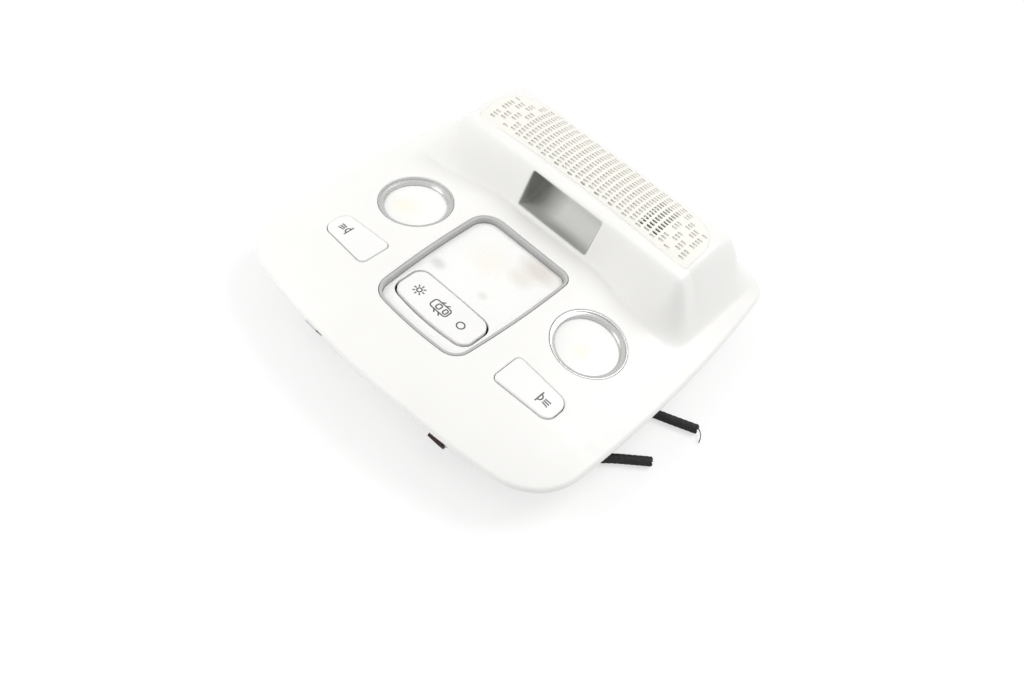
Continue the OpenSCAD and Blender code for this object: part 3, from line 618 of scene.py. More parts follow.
@dataclass(frozen=True)
class FaceForm:
    """The moulded face: its outline, and its height over the plan."""

    body: float = 192.0
    height: float = 34.0
    wall: float = 2.4
    front_bow: float = 15.2
    front_inset: float = 0.9
    side_bow: float = 6.6
    side_mid_y: float = -12.0
    rear_bow: float = 5.2
    front_corner: float = 31.0
    rear_corner: float = 12.0
    rim_drop: float = 3.2
    rim_band: float = 26.0
    rim_side_band: float = 25.0
    rim_rear_share: float = 0.54
    rim_most: float = 1.3
    rim_power: float = 1.8
    crease_x: float = 34.0
    crease_turn: float = 9.0
    crease_turn_y: float = -52.0
    crease_run: float = 24.0
    tilt: float = 6.0
    crease_soft: float = 4.0
    crest_y: float = 56.0
    crest_r: float = 50.0
    hump_h: float = 23.5
    ridge_y: float = 33.3
    wall_run: float = 10.1
    scoop: float = 6.0
    scoop_x: float = 25.0
    scoop_run: float = 40.0
    vault_half: float = 65.0
    vault_rear_y: float = 80.0
    hump_half: float = 84.0
    rear_fall_y: float = 71.5
    rear_run: float = 21.5
    flat_y: float = 39.0
    inner_front_shift: float = 0.6
    inner_end_shift: float = 0.45

    @property
    def half(self) -> float:
        """Half the width and depth of the console."""
        return self.body / 2

    @property
    def axis_z(self) -> float:
        """Height of the axis of the vaulted top."""
        return self.height + self.hump_h - self.crest_r

    def edge_circles(self) -> tuple[Array, float, Array, float, Array, float]:
        """Finds the circles that the edges follow.

        Returns:
            Centre and radius of the front edge, of the right side edge and of the rear edge.
        """
        front_r = bow_radius(self.half, self.front_bow)
        side_r = bow_radius(self.half, self.side_bow)
        rear_r = bow_radius(self.half, self.rear_bow)
        return (np.array([0, front_r - self.half + self.front_inset]), front_r,
                np.array([self.half - side_r, self.side_mid_y]), side_r,
                np.array([0, self.half - rear_r]), rear_r)

    def outline(self, step: float) -> Array:
        """Outline of the face: three bowed edges and rounded corners, as tangent arcs.

        Args:
            step: distance between points.

        Returns:
            The outline, anticlockwise.
        """
        front, front_r, side, side_r, rear, rear_r = self.edge_circles()

        def arc(centre: Array, radius: float, begin: float, end: float) -> Array:
            """Points of an arc between two angles."""
            return centre + radius * on_circle(np.linspace(begin, end, ARC_POINTS))

        def heading(a: Array, b: Array) -> float:
            """Angle of the direction from a to b."""
            return math.atan2(b[1] - a[1], b[0] - a[0])

        low = crossing(front, front_r - self.front_corner, side, side_r - self.front_corner,
                       np.array([self.half, -self.half]))
        high = crossing(rear, rear_r - self.rear_corner, side, side_r - self.rear_corner,
                        np.array([self.half, self.half]))
        right = np.vstack([
            arc(front, front_r, -math.pi / 2, heading(front, low)),
            arc(low, self.front_corner, heading(front, low), heading(side, low)),
            arc(side, side_r, heading(side, low), heading(side, high)),
            arc(high, self.rear_corner, heading(side, high), heading(rear, high)),
            arc(rear, rear_r, heading(rear, high), math.pi / 2)])
        left = right[::-1] * np.array([-1, 1])
        return spaced(np.vstack([right, left[1:-1]]), step)

    def rim(self, x: Array, y: Array) -> Array:
        """How far into the falling rim places lie: the cube root of a sum of cubes, an edge each.

        Args:
            x: places along X.
            y: places along Y.

        Returns:
            Zero on the level face, rising to one at a single edge.
        """
        front, front_r, side, side_r, rear, rear_r = self.edge_circles()

        def cubed(centre: Array, radius: float, px: Array, band: float) -> Array:
            """One edge's share, cubed: 1 less the depth inside its circle over its band."""
            depth = radius - np.hypot(px - centre[0], y - centre[1])
            return np.maximum(1 - depth / band, 0) ** 3

        return np.cbrt(cubed(front, front_r, x, self.rim_band)
                       + cubed(side, side_r, np.abs(x), self.rim_side_band)
                       + cubed(rear, rear_r, x, self.rim_band * self.rim_rear_share))

    def plain(self, x: Array, y: Array) -> Array:
        """Height without the hump: level, less the wings' slope past the crease and the rim's fall.

        Args:
            x: places along X.
            y: places along Y.

        Returns:
            The height at each place.
        """
        turn = soft_step((self.crease_turn_y - y) / self.crease_run)
        crease = self.crease_x - self.crease_turn * turn
        slope = math.tan(math.radians(self.tilt))
        fall = self.rim_drop * np.minimum(self.rim(x, y), self.rim_most) ** self.rim_power
        return self.height - slope * soft_fall(np.abs(x) - crease, self.crease_soft) - fall

    def vault(self, y: Array) -> Array:
        """Height of the vaulted top: an arc of the crest's radius about its axis."""
        span = np.clip(y, self.flat_y, self.vault_rear_y) - self.crest_y
        return self.axis_z + np.sqrt(self.crest_r ** 2 - span ** 2)

    def hump(self, x: Array, y: Array, depth: float) -> Array:
        """Share of the vault in the height: the product of soft steps at the front, ends and rear.

        Args:
            x: places along X.
            y: places along Y.
            depth: 0 on the face, 1 on its inner side.

        Returns:
            The share at each place, from 0 to 1.
        """
        front_shift = self.inner_front_shift * (depth * self.wall)
        end_shift = self.inner_end_shift * (depth * self.wall)
        scoop = self.scoop * soft_step((np.abs(x) - self.scoop_x) / self.scoop_run)
        low_y = self.ridge_y - self.wall_run - scoop + front_shift
        rise = soft_step((y - low_y) / (self.ridge_y + front_shift - low_y))
        ends = soft_step((np.abs(x) - self.vault_half + end_shift)
                         / (self.hump_half - self.vault_half))
        back = soft_step((y - self.rear_fall_y + end_shift) / self.rear_run)
        return rise * (1 - ends) * (1 - back)

    def at(self, plan: Array, depth: float = 0.0) -> Array:
        """Points of the face over plan points, or of its inner side.

        Args:
            plan: points as (x, y).
            depth: 0 on the face, 1 on its inner side.

        Returns:
            Points as (x, y, z).
        """
        x, y = plan[:, 0], plan[:, 1]
        share = self.hump(x, y, depth)
        z = self.plain(x, y) * (1 - share) + self.vault(y) * share - depth * self.wall
        return np.column_stack([x, y, z])

    def middle(self, y: Array, depth: float = 0.0) -> Array:
        """Height of the face, or of its inner side, along the console's middle line."""
        return self.at(np.column_stack([0 * y, y]), depth)[:, 2]

    def wing(self, points: Array, side: Side) -> Array:
        """Carries points from a wing's own frame into the console's.

        Args:
            points: points with X outwards along the wing and Z out of it.
            side: which wing.

        Returns:
            The points in the console's frame.
        """
        c, s = math.cos(math.radians(self.tilt)), math.sin(math.radians(self.tilt))
        x = self.crease_x + points[..., 0] * c + points[..., 2] * s
        z = self.height - points[..., 0] * s + points[..., 2] * c
        placed = np.stack([x, points[..., 1], z], axis=-1)
        if side is Side.LEFT:
            placed[..., 0] *= -1
        return placed

    def wing_down(self, side: Side) -> Array:
        """Direction straight into a wing."""
        s = math.sin(math.radians(self.tilt))
        return np.array([-side.value * s, 0, -math.cos(math.radians(self.tilt))])

    def along_wing(self, x: float) -> float:
        """Distance along the wing to a point x from the middle."""
        return (x - self.crease_x) / math.cos(math.radians(self.tilt))


@dataclass(frozen=True)
class Ruler:
    """Distance along a curve against a coordinate, so that points spread evenly on a slope."""

    at: Array
    along: Array

    @staticmethod
    def over(at: Array, height: Array) -> "Ruler":
        """Measures the curve whose height is given at each coordinate."""
        steps = np.hypot(np.diff(at), np.diff(height))
        return Ruler(at, np.concatenate([[0.0], np.cumsum(steps)]) + at[0])

    def measure(self, values: Array) -> Array:
        """Distances along the curve."""
        return np.interp(values, self.at, self.along)

    def place(self, lengths: Array) -> Array:
        """Coordinates at distances along the curve."""
        return np.interp(lengths, self.along, self.at)


@dataclass(frozen=True)
class Openings:
    """Plan outlines of what is cut into the face and of what fills it."""

    form: FaceForm
    window_half: float = 21.5
    window_low: float = 1.4
    window_top: float = 19.4
    grille_half: float = 64.25
    grille_front: float = 38.3
    grille_rear: float = 70.0
    grille_corner: float = 20.0
    grille_bow: float = 2.0
    grille_bow_half: float = 60.0
    grille_front_corner: float = 1.5
    lamp_x: float = 55.0
    lamp_y: float = -10.0
    lamp_r: float = 18.2
    lens_front_half: float = 24.1
    lens_rear_half: float = 26.3
    lens_front_y: float = -61.9
    lens_rear_y: float = 10.0
    lens_bow: float = 1.6
    lens_corners: tuple[float, float, float, float] = (8.0, 7.5, 5.0, 9.5)
    lens_side_bow: float = 1.2
    middle_x: float = -1.0
    rocker_half: float = 22.1
    rocker_front_y: float = -54.0
    rocker_rear_y: float = -36.8
    rocker_bow: float = 2.0
    rocker_corner: float = 5.5
    button_in_x: float = 40.3
    button_out_x: float = 69.6
    button_rear_y: float = -40.4
    button_w_in: float = 16.9
    button_w_out: float = 13.4
    button_corners: tuple[float, float, float, float] = (2.5, 5.0, 5.0, 2.5)

    def lens(self, step: float) -> Array:
        """Outline of the courtesy lens: a trapezium with a bowed front and round corners.

        Each long side runs outwards in proportion to the way up, plus half a sine wave.

        Args:
            step: distance between points.

        Returns:
            The outline, anticlockwise.
        """
        up = np.linspace(0, 1, BOW_POINTS)
        front = bowed_front(self.lens_front_half, self.lens_front_y, self.lens_bow)
        right = np.column_stack([
            self.lens_front_half + (self.lens_rear_half - self.lens_front_half) * up
            + self.lens_side_bow * np.sin(math.pi * up),
            self.lens_front_y + (self.lens_rear_y - self.lens_front_y) * up])
        rear = straight([self.lens_rear_half, self.lens_rear_y],
                        [-self.lens_rear_half, self.lens_rear_y])
        left = right[::-1] * np.array([-1, 1])
        loop = joined([front, right, rear, left], self.lens_corners, step)
        return loop + [self.middle_x, 0]

    def rocker(self, step: float) -> Array:
        """Outline of the rocker: a rectangle with a bowed front.

        Args:
            step: distance between points.

        Returns:
            The outline, anticlockwise.
        """
        front = bowed_front(self.rocker_half, self.rocker_front_y, self.rocker_bow)
        loop = closed_behind(front, self.rocker_rear_y, [self.rocker_corner] * 4, step)
        return loop + [self.middle_x, 0]

    def button(self, step: float) -> Array:
        """Outline of a push button in its wing's frame: it narrows outwards.

        Args:
            step: distance between points.

        Returns:
            The outline, anticlockwise.
        """
        inner = self.form.along_wing(self.button_in_x)
        outer = self.form.along_wing(self.button_out_x)
        rear = self.button_rear_y
        corners = [[inner, rear - self.button_w_in], [outer, rear - self.button_w_out],
                   [outer, rear], [inner, rear]]
        return polygon(corners, self.button_corners, step)

    def lamp(self, radius: float, step: float) -> Array:
        """A circle round a reading light in its wing's frame."""
        middle = np.array([self.form.along_wing(self.lamp_x), self.lamp_y])
        return middle + radius * on_circle(full_turn(int(round(2 * math.pi * radius / step))))

    def grille(self, step: float) -> Array:
        """Outline of the grille: a bowed front, straight ends and large rear corners.

        Args:
            step: distance between points.

        Returns:
            The outline, anticlockwise.
        """
        radius = bow_radius(self.grille_bow_half, self.grille_bow)
        x = np.linspace(-self.grille_half, self.grille_half, 121)
        bow = self.grille_front + self.grille_bow - radius + np.sqrt(radius ** 2 - x ** 2)
        front = np.column_stack([x, np.maximum(bow, self.grille_front)])
        radii = [self.grille_front_corner] * 2 + [self.grille_corner] * 2
        return closed_behind(front, self.grille_rear, radii, step)


@dataclass(frozen=True)
class Cut:
    """An opening or the outer edge: its plan loop on the face, its section, its loop inside."""

    outside: Array
    section: Array
    inside: Array


# How the noise and the gradients of every finish are read.
CLOUD_RANGE: Span = (0.35, 0.65)
GLOSS_RANGE: Span = (0.3, 0.7)
DUST_RANGE: Span = (0.66, 0.74)
DUST_MM = 1.1
DUST_SHADE = 0.62
TINT_RANGE: Span = (0.0, 0.7)


@dataclass(frozen=True)
class Finish:
    """A finish: fine grain, faint cloudiness, uneven gloss and soft tints.

    The colour is shaded by noise and by tints, the roughness by noise, and the surface by a grain.
    A tint is a soft ellipse in plan: its colour, middle, half sizes in mm and strength. Some tints
    are painted shade, painted shadow or painted light.
    """

    name: str
    colour: Colour
    roughness: float = 0.45
    metallic: float = 0.0
    grain_mm: float = 0.35
    relief: float = 0.05
    cloud: float = 0.02
    cloud_mm: float = 30.0
    gloss_spread: float = 0.05
    coat: float = 0.0
    stretch: tuple[float, float, float] = (1.0, 1.0, 1.0)
    dust: float = 0.0
    transmission: float = 0.0
    ior: float = 1.49
    tints: tuple[tuple[Colour, Span, Span, float], ...] = ()

    def base(self) -> tuple[Material, Tree, bpy.types.Node]:
        """Starts the material.

        Returns:
            The new material, its node tree and its shader.
        """
        material = bpy.data.materials.new(self.name)
        material.use_nodes = True
        tree = material.node_tree
        return material, tree, tree.nodes["Principled BSDF"]

    def noise(self, tree: Tree, size_mm: float, detail: float) -> Socket:
        """Noise in the object's own coordinates.

        Args:
            tree: the material's nodes.
            size_mm: size of its features.
            detail: how many finer layers it has.

        Returns:
            Its value, about a half on average.
        """
        coordinates = tree.nodes.new("ShaderNodeTexCoord")
        mapping = tree.nodes.new("ShaderNodeMapping")
        mapping.inputs["Scale"].default_value = self.stretch
        pattern = tree.nodes.new("ShaderNodeTexNoise")
        pattern.inputs["Scale"].default_value = 1 / (size_mm * MM)
        pattern.inputs["Detail"].default_value = detail
        tree.links.new(coordinates.outputs["Object"], mapping.inputs["Vector"])
        tree.links.new(mapping.outputs["Vector"], pattern.inputs["Vector"])
        return pattern.outputs["Fac"]

    def shade(self, tree: Tree, colour: Socket, tint: Colour, share: Socket) -> Socket:
        """Mixes a tint into a colour.

        Args:
            tree: the material's nodes.
            colour: the colour so far.
            tint: the colour to mix in.
            share: how much of it.

        Returns:
            The mixed colour.
        """
        mix = tree.nodes.new("ShaderNodeMix")
        mix.data_type = "RGBA"
        tree.links.new(share, mix.inputs["Factor"])
        tree.links.new(colour, mix.inputs["A"])
        mix.inputs["B"].default_value = (*tint, 1.0)
        return mix.outputs["Result"]

    def ranged(self, tree: Tree, value: Socket, source: Span, target: Span) -> Socket:
        """Carries a value from one range to another, held at both ends.

        Args:
            tree: the material's nodes.
            value: the value.
            source: the range it comes from.
            target: the range it goes to.

        Returns:
            The new value.
        """
        node = tree.nodes.new("ShaderNodeMapRange")
        tree.links.new(value, node.inputs["Value"])
        for name, number in zip(("From Min", "From Max", "To Min", "To Max"), (*source, *target)):
            node.inputs[name].default_value = number
        return node.outputs["Result"]

    def paint(self, tree: Tree) -> Socket:
        """Lays down the colour with its clouds and dust.

        Args:
            tree: the material's nodes.

        Returns:
            The colour.
        """
        plain = tree.nodes.new("ShaderNodeRGB")
        plain.outputs["Color"].default_value = (*self.colour, 1.0)
        share = self.ranged(tree, self.noise(tree, self.cloud_mm, 3.0), CLOUD_RANGE, (0.0, 1.0))
        darker = tuple(c * (1 - 2 * self.cloud) for c in self.colour)
        colour = self.shade(tree, plain.outputs["Color"], darker, share)
        if self.dust:
            share = self.ranged(tree, self.noise(tree, DUST_MM, 2.0), DUST_RANGE, (0.0, self.dust))
            colour = self.shade(tree, colour, tuple(c * DUST_SHADE for c in self.colour), share)
        return colour

    def tinted(self, tree: Tree, colour: Socket) -> Socket:
        """Adds each tint to a colour.

        Args:
            tree: the material's nodes.
            colour: the colour so far.

        Returns:
            The colour with the tints.
        """
        for tint, middle, half, strength in self.tints:
            coordinates = tree.nodes.new("ShaderNodeTexCoord")
            mapping = tree.nodes.new("ShaderNodeMapping")
            mapping.vector_type = "TEXTURE"
            mapping.inputs["Location"].default_value = (middle[0] * MM, middle[1] * MM, 0)
            mapping.inputs["Scale"].default_value = (half[0] * MM, half[1] * MM, 1)
            ball = tree.nodes.new("ShaderNodeTexGradient")
            ball.gradient_type = "SPHERICAL"
            tree.links.new(coordinates.outputs["Object"], mapping.inputs["Vector"])
            tree.links.new(mapping.outputs["Vector"], ball.inputs["Vector"])
            share = self.ranged(tree, ball.outputs["Fac"], TINT_RANGE, (0.0, strength))
            colour = self.shade(tree, colour, tint, share)
        return colour

    def finish_surface(self, tree: Tree, shader: bpy.types.Node) -> None:
        """Links the uneven gloss and the grain to the shader.

        Args:
            tree: the material's nodes.
            shader: its shader.
        """
        spread = (self.roughness - self.gloss_spread, self.roughness + self.gloss_spread)
        gloss = self.ranged(tree, self.noise(tree, self.cloud_mm / 4, 2.0), GLOSS_RANGE, spread)
        tree.links.new(gloss, shader.inputs["Roughness"])
        bump = tree.nodes.new("ShaderNodeBump")
        bump.inputs["Strength"].default_value = self.relief
        bump.inputs["Distance"].default_value = self.grain_mm * MM
        tree.links.new(self.noise(tree, self.grain_mm, 2.0), bump.inputs["Height"])
        tree.links.new(bump.outputs["Normal"], shader.inputs["Normal"])

    def make(self) -> Material:
        """Builds the material.

        Returns:
            The new material.
        """
        material, tree, shader = self.base()
        tree.links.new(self.tinted(tree, self.paint(tree)), shader.inputs["Base Color"])
        shader.inputs["Metallic"].default_value = self.metallic
        shader.inputs["Transmission Weight"].default_value = self.transmission
        shader.inputs["IOR"].default_value = self.ior
        shader.inputs["Coat Weight"].default_value = self.coat
        self.finish_surface(tree, shader)
        return material


FINISHES: dict[str, Finish] = {
    "face_plastic": Finish("console_plastic", (0.86, 0.855, 0.835), 0.42, cloud=0.008, dust=0.06),
    "grille_plastic": Finish("grille_plastic", (0.87, 0.855, 0.80), 0.40, cloud=0.012, dust=0.06),
    "switch_plastic": Finish("switch_plastic", (0.87, 0.865, 0.85), 0.36, cloud=0.008, dust=0.04),
    "tray_plastic": Finish("tray_plastic", (0.70, 0.70, 0.68), 0.48, cloud=0.02, relief=0.1,
                           # Both tints are painted shade: a dark patch over the pocket's left end
                           # and a darker band along its floor and lower back.
                           tints=(((0.17, 0.17, 0.16), (-19.0, 36.0), (17.0, 16.0), 0.85),
                                  ((0.30, 0.30, 0.28), (6.0, 25.0), (34.0, 7.5), 0.8))),
    "ring_plastic": Finish("silver_paint", (0.56, 0.56, 0.55), 0.26, metallic=0.75, cloud=0.02,
                           grain_mm=0.12),
    "bright_metal": Finish("mirror_coat", (0.80, 0.80, 0.79), 0.16, metallic=1.0, cloud=0.03),
    "bulb_glass": Finish("bulb_glass", (0.95, 0.95, 0.92), 0.08, transmission=0.85),
    "holder_plastic": Finish("holder_resin", (0.20, 0.075, 0.03), 0.5, cloud=0.08),
    "board": Finish("board_lacquer", (0.012, 0.085, 0.03), 0.35, cloud=0.12, cloud_mm=3.0,
                    coat=0.3),
    "dark_plastic": Finish("dark_resin", (0.028, 0.028, 0.03), 0.42, cloud=0.1),
    "inner_plastic": Finish("natural_resin", (0.66, 0.64, 0.59), 0.45, cloud=0.03),
    "housing_plastic": Finish("housing_resin", (0.17, 0.17, 0.165), 0.5, cloud=0.05, relief=0.1),
    # The bezel is a grey frame piece whose mid grey also paints the shade on the walls of the lens
    # opening.
    "bezel": Finish("bezel_plastic", (0.50, 0.50, 0.49), 0.42, cloud=0.05, relief=0.08, dust=0.05),
    "felt": Finish("felt_mat", (0.90, 0.89, 0.86), 0.9, grain_mm=0.5, relief=0.6, cloud=0.05,
                   cloud_mm=2.0),
    "brass": Finish("stamped_brass", (0.62, 0.42, 0.14), 0.3, metallic=1.0, cloud=0.08),
    "steel": Finish("spring_steel", (0.45, 0.45, 0.46), 0.28, metallic=1.0, cloud=0.06,
                    stretch=(1.0, 12.0, 12.0),
                    # The tint darkens the steel round the right front clip almost to black, with a
                    # red cast.
                    tints=(((0.035, 0.018, 0.017), (39.0, -88.0), (18.0, 18.0), 0.96),)),
    "rubber": Finish("seal_rubber", (0.014, 0.014, 0.016), 0.6, cloud=0.15, relief=0.15),
    "cable_jacket": Finish("jacket_pvc", (0.007, 0.0065, 0.007), 0.7, cloud=0.2, cloud_mm=5.0,
                           grain_mm=0.5, relief=0.25),
    "ink": Finish("printed_ink", (0.10, 0.10, 0.10), 0.4, cloud=0.1, cloud_mm=2.0),
    "courtesy_lens": Finish(
        "courtesy_lens_plastic", (0.88, 0.88, 0.862), 0.26, cloud=0.01, coat=0.2, relief=0.03,
        # Tints: the warm yellow patch is painted light from the bulb behind the lens, the two
        # brownish patches are painted shadow of the bulb holder behind it, and the last two are
        # small grey patches.
        tints=(((0.84, 0.79, 0.66), (-6.0, -9.0), (15.0, 12.0), 0.35),
               ((0.66, 0.62, 0.56), (12.5, 4.0), (14.0, 8.0), 0.8),
               ((0.74, 0.69, 0.62), (10.0, -5.5), (9.0, 7.0), 0.6),
               ((0.66, 0.67, 0.65), (-20.5, -29.0), (5.5, 4.0), 0.9),
               ((0.72, 0.72, 0.68), (6.0, -27.0), (3.5, 3.0), 0.7))),
}
FINISHES.update({
    f"reading_lens_{side.name.lower()}": Finish(
        f"reading_lens_plastic_{side.name.lower()}", (0.885, 0.885, 0.865), 0.22, cloud=0.01,
        coat=0.3, relief=0.02,
        tints=(((0.88, 0.84, 0.66), (side.value * 58.0, -14.0), (9.0, 8.0), 0.5),))
    for side in Side})


@dataclass
class Workshop:
    """Materials by slot, and the ways to put pieces into the model."""

    form: FaceForm = field(default_factory=FaceForm)
    materials: dict[str, Material] = field(default_factory=dict)

    def material(self, slot: str) -> Material:
        """The material of a slot or of a finish of its own, made when it is first asked for.

        Args:
            slot: the slot, or the name of the finish.

        Returns:
            The material.
        """
        if slot not in self.materials:
            self.materials[slot] = FINISHES[slot].make()
        return self.materials[slot]

    def fit(self, shell: Shell, name: str, slot: str, body: str, *nodes: str,
            finish: str = "") -> Object:
        """Makes a piece, puts it on its body and lets it stand for its nodes.

        Args:
            shell: the piece's mesh.
            name: name of the piece.
            slot: the slot it takes its finish from.
            body: the body it moves with.
            nodes: the nodes it stands for.
            finish: name of a finish of its own, if it isn't the slot's.

        Returns:
            The new object.
        """
        piece = shell.piece(name, self.material(finish or slot))
        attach(piece, body)
        if nodes:
            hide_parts(*nodes)
        return piece


@dataclass
class Face:
    """The moulded face: a trimmed sheet rolled into walls at every opening and at its edge."""

    shop: Workshop
    cuts: Openings
    spacing: float = 1.0
    skirt: float = 2.6
    edge_roll: float = 1.5
    lip: float = 0.6
    lens_lip: float = 0.4
    foot_roll: float = 0.25
    bezel_w: float = 1.85
    bezel_roll: float = 0.9
    bezel_edges: tuple[float, float, float] = (0.15, 0.15, 0.2)
    bezel_down: float = 0.1
    groove: float = 0.32
    collar_low: float = 29.7
    collar_wall: float = 1.6
    lamp_collar: float = 7.0
    button_collar: float = 5.0
    button_gap: float = 0.42
    window_from_y: float = 20.0
    window_corner: float = 0.9
    grille_t: float = 0.8
    grille_gap: float = 0.05
    grille_roll: float = 0.12
    ledge: float = 2.0
    ledge_t: float = 1.8
    skirt_edges: tuple[float, float] = (0.6, 0.15)
    inner_spacing: float = 2.2
    root: float = 0.6
    rib_half: float = 74.4
    rib_front: float = -67.4
    rib_rear: float = 26.4
    rib_t: float = 1.7
    rib_low: float = 18.0
    rib_top: float = 34.4
    rib_corner: float = 4.0
    boss_spots: tuple[Span, ...] = ((67.0, -30.5), (35.0, 18.0))
    boss_r: float = 3.4
    boss_low: float = 14.0
    bore_r: float = 1.63
    bore_top: float = 25.0
    tower_spots: tuple[Span, ...] = ((39.0, -81.0), (58.0, 80.0))
    tower_half: Span = (4.5, 2.0)
    tower_corner: float = 0.8
    tower_low: float = 8.0

    @property
    def form(self) -> FaceForm:
        """The form of the face."""
        return self.shop.form

    def lens_hole(self, step: float) -> Cut:
        """The lens opening, straight down through its collar.

        Args:
            step: distance between points.

        Returns:
            The opening.
        """
        edge = grown(self.cuts.lens(step), self.bezel_w)
        start, outer = grown(edge, self.lens_lip), grown(edge, self.collar_wall)
        corners = [self.form.at(start), self.form.at(edge), lifted(edge, self.collar_low),
                   lifted(outer, self.collar_low), self.form.at(outer, 1.0)]
        return Cut(start, rolled(corners, [self.lens_lip, self.foot_roll, self.foot_roll]), outer)

    def bezel(self) -> None:
        """Adds the grey frame that lines the lens opening, a narrow groove inside the face. Its mid
        grey is partly painted shade on the opening's walls.
        """
        inner = self.cuts.lens(self.spacing)
        outer, crown = grown(inner, self.bezel_w - self.groove), grown(inner, self.bezel_roll)
        top = self.form.height - self.bezel_down
        corners = [lifted(crown, top), lifted(inner, top), lifted(inner, self.collar_low),
                   lifted(outer, self.collar_low), lifted(outer, top), lifted(crown, top)]
        shell = Shell()
        shell.carry(rolled(corners, [self.bezel_roll, *self.bezel_edges], 5))
        self.shop.fit(shell, "courtesy_bezel", "face_plastic", "console", finish="bezel")

    def wing_hole(self, side: Side, edge: Array, gap: float, depth: float) -> Cut:
        """An opening in a wing, cut square to it.

        Args:
            side: which wing.
            edge: its outline in the wing's frame.
            gap: how far the opening is wider than the outline.
            depth: depth of its collar.

        Returns:
            The opening.
        """

        def at(offset: float, level: float) -> Array:
            """The outline in space at an offset and a level of the wing."""
            placed = self.form.wing(lifted(grown(edge, gap + offset), level), side)
            return placed[::-1] if side is Side.LEFT else placed

        start, outer = at(self.lip, 0)[:, :2], at(self.collar_wall, 0)[:, :2]
        corners = [self.form.at(start), self.form.at(at(0, 0)[:, :2]), at(0, -depth),
                   at(self.collar_wall, -depth), self.form.at(outer, 1.0)]
        return Cut(start, rolled(corners, [self.lip, self.foot_roll, self.foot_roll]), outer)

    def window_hole(self, ruler: Ruler, step: float) -> Cut:
        """The display window, cut straight back through the hump's front wall.

        Its outline is drawn on the unrolled wall, so that the lip is even on the slope.

        Args:
            ruler: distance along the face's middle section.
            step: distance between points.

        Returns:
            The opening.
        """
        form, half = self.form, self.cuts.window_half
        y = np.linspace(self.window_from_y, form.ridge_y, WALL_SAMPLES)
        inside_y = np.linspace(self.window_from_y, form.ridge_y + 2, WALL_SAMPLES)
        levels = form.height + np.array([self.cuts.window_low, self.cuts.window_top])
        low, top = ruler.measure(np.interp(levels, form.middle(y), y))
        loop = polygon(rectangle(-half, low, half, top), [self.window_corner] * 4, step)

        def on_plan(flat: Array) -> Array:
            """Plan points of a loop that is drawn on the unrolled wall."""
            return np.column_stack([flat[:, 0], ruler.place(flat[:, 1])])

        start, edge = on_plan(grown(loop, self.lip)), form.at(on_plan(loop))
        behind = np.interp(edge[:, 2], form.middle(inside_y, 1.0), inside_y)
        inner = np.column_stack([edge[:, 0], behind])
        return Cut(start, rolled([form.at(start), edge, form.at(inner, 1.0)], [self.lip]), inner)

    def grille_hole(self, step: float) -> Cut:
        """The grille's seat: a wall down, a ledge inwards, and the ledge's underside.

        Args:
            step: distance between points.

        Returns:
            The opening.
        """
        form = self.form

        def on_vault(loop: Array, drop: float) -> Array:
            """A loop on a cylinder that lies drop under the vaulted top."""
            radius, across = form.crest_r - drop, loop[:, 1] - form.crest_y
            return lifted(loop, form.axis_z + np.sqrt(radius ** 2 - across ** 2))

        edge = grown(self.cuts.grille(step), self.grille_gap)
        start, inward = grown(edge, self.grille_roll), grown(edge, -self.ledge)
        outer = grown(edge, self.collar_wall)
        under = self.grille_t + self.ledge_t
        corners = [form.at(start), form.at(edge), on_vault(edge, self.grille_t),
                   on_vault(inward, self.grille_t), on_vault(inward, under), on_vault(outer, under),
                   form.at(outer, 1.0)]
        return Cut(start, rolled(corners, [self.grille_roll, 0, 0, 0, 0.2]), outer)

    def edge_section(self, outline: Array) -> Cut:
        """The outer edge: rolled over, down its skirt, round the foot and up inside.

        Args:
            outline: the face's outline.

        Returns:
            The edge.
        """
        form = self.form
        start, inner = grown(outline, -self.edge_roll), grown(outline, -form.wall)
        foot = form.plain(outline[:, 0], outline[:, 1]) - self.skirt
        corners = [form.at(start), form.at(outline), lifted(outline, foot), lifted(inner, foot),
                   form.at(inner, 1.0)]
        return Cut(start, rolled(corners, [self.edge_roll, *self.skirt_edges], 6), inner)

    def skin(self, shell: Shell) -> None:
        """Adds the outer sheet, the inner sheet, and the sections that join them.

        Args:
            shell: the shell that takes them.
        """
        form, step = self.form, self.spacing
        span = np.linspace(-form.half - 2, form.half + 2, 6 * WALL_SAMPLES)
        length = Ruler.over(span, form.middle(span))
        width = Ruler.over(span, form.at(np.column_stack([span, 0 * span + form.crest_y]))[:, 2])
        lamp = self.cuts.lamp(self.cuts.lamp_r, step)
        holes = [self.lens_hole(step), self.window_hole(length, step), self.grille_hole(step)]
        for side in Side:
            holes.append(self.wing_hole(side, lamp, 0.0, self.lamp_collar))
            holes.append(self.wing_hole(side, self.cuts.button(step), self.button_gap,
                                        self.button_collar))
        rim = self.edge_section(form.outline(step))

        def unrolled(plan: Array) -> Array:
            """Plan points as distances along the two middle sections."""
            return np.column_stack([width.measure(plan[:, 0]), length.measure(plan[:, 1])])

        def sheet(loops: list[Array], spacing: float, depth: float) -> list[Array]:
            """Adds one trimmed sheet over the plan, spaced along the slopes.

            Args:
                loops: its plan loops, the outline first.
                spacing: distance between its points.
                depth: 0 for the face, 1 for its inner side.

            Returns:
                The places of its loops, the outline first.
            """
            outer, *inner = (unrolled(loop) for loop in loops)
            plan = trimmed_plan(outer, inner, spacing)
            x, y = plan.points.T
            flat = np.column_stack([width.place(x), length.place(y)])
            return shell.sheet(plan, form.at(flat, depth), flipped=depth > 0)

        upper = sheet([cut.outside for cut in (rim, *holes)], step, 0.0)
        lower = sheet([cut.inside for cut in (rim, *holes)], self.inner_spacing * step, 1.0)
        shell.carry(rim.section, upper[0], lower[0], outward=True)
        for hole, top, bottom in zip(holes, upper[1:], lower[1:]):
            shell.carry(hole.section, top, bottom)

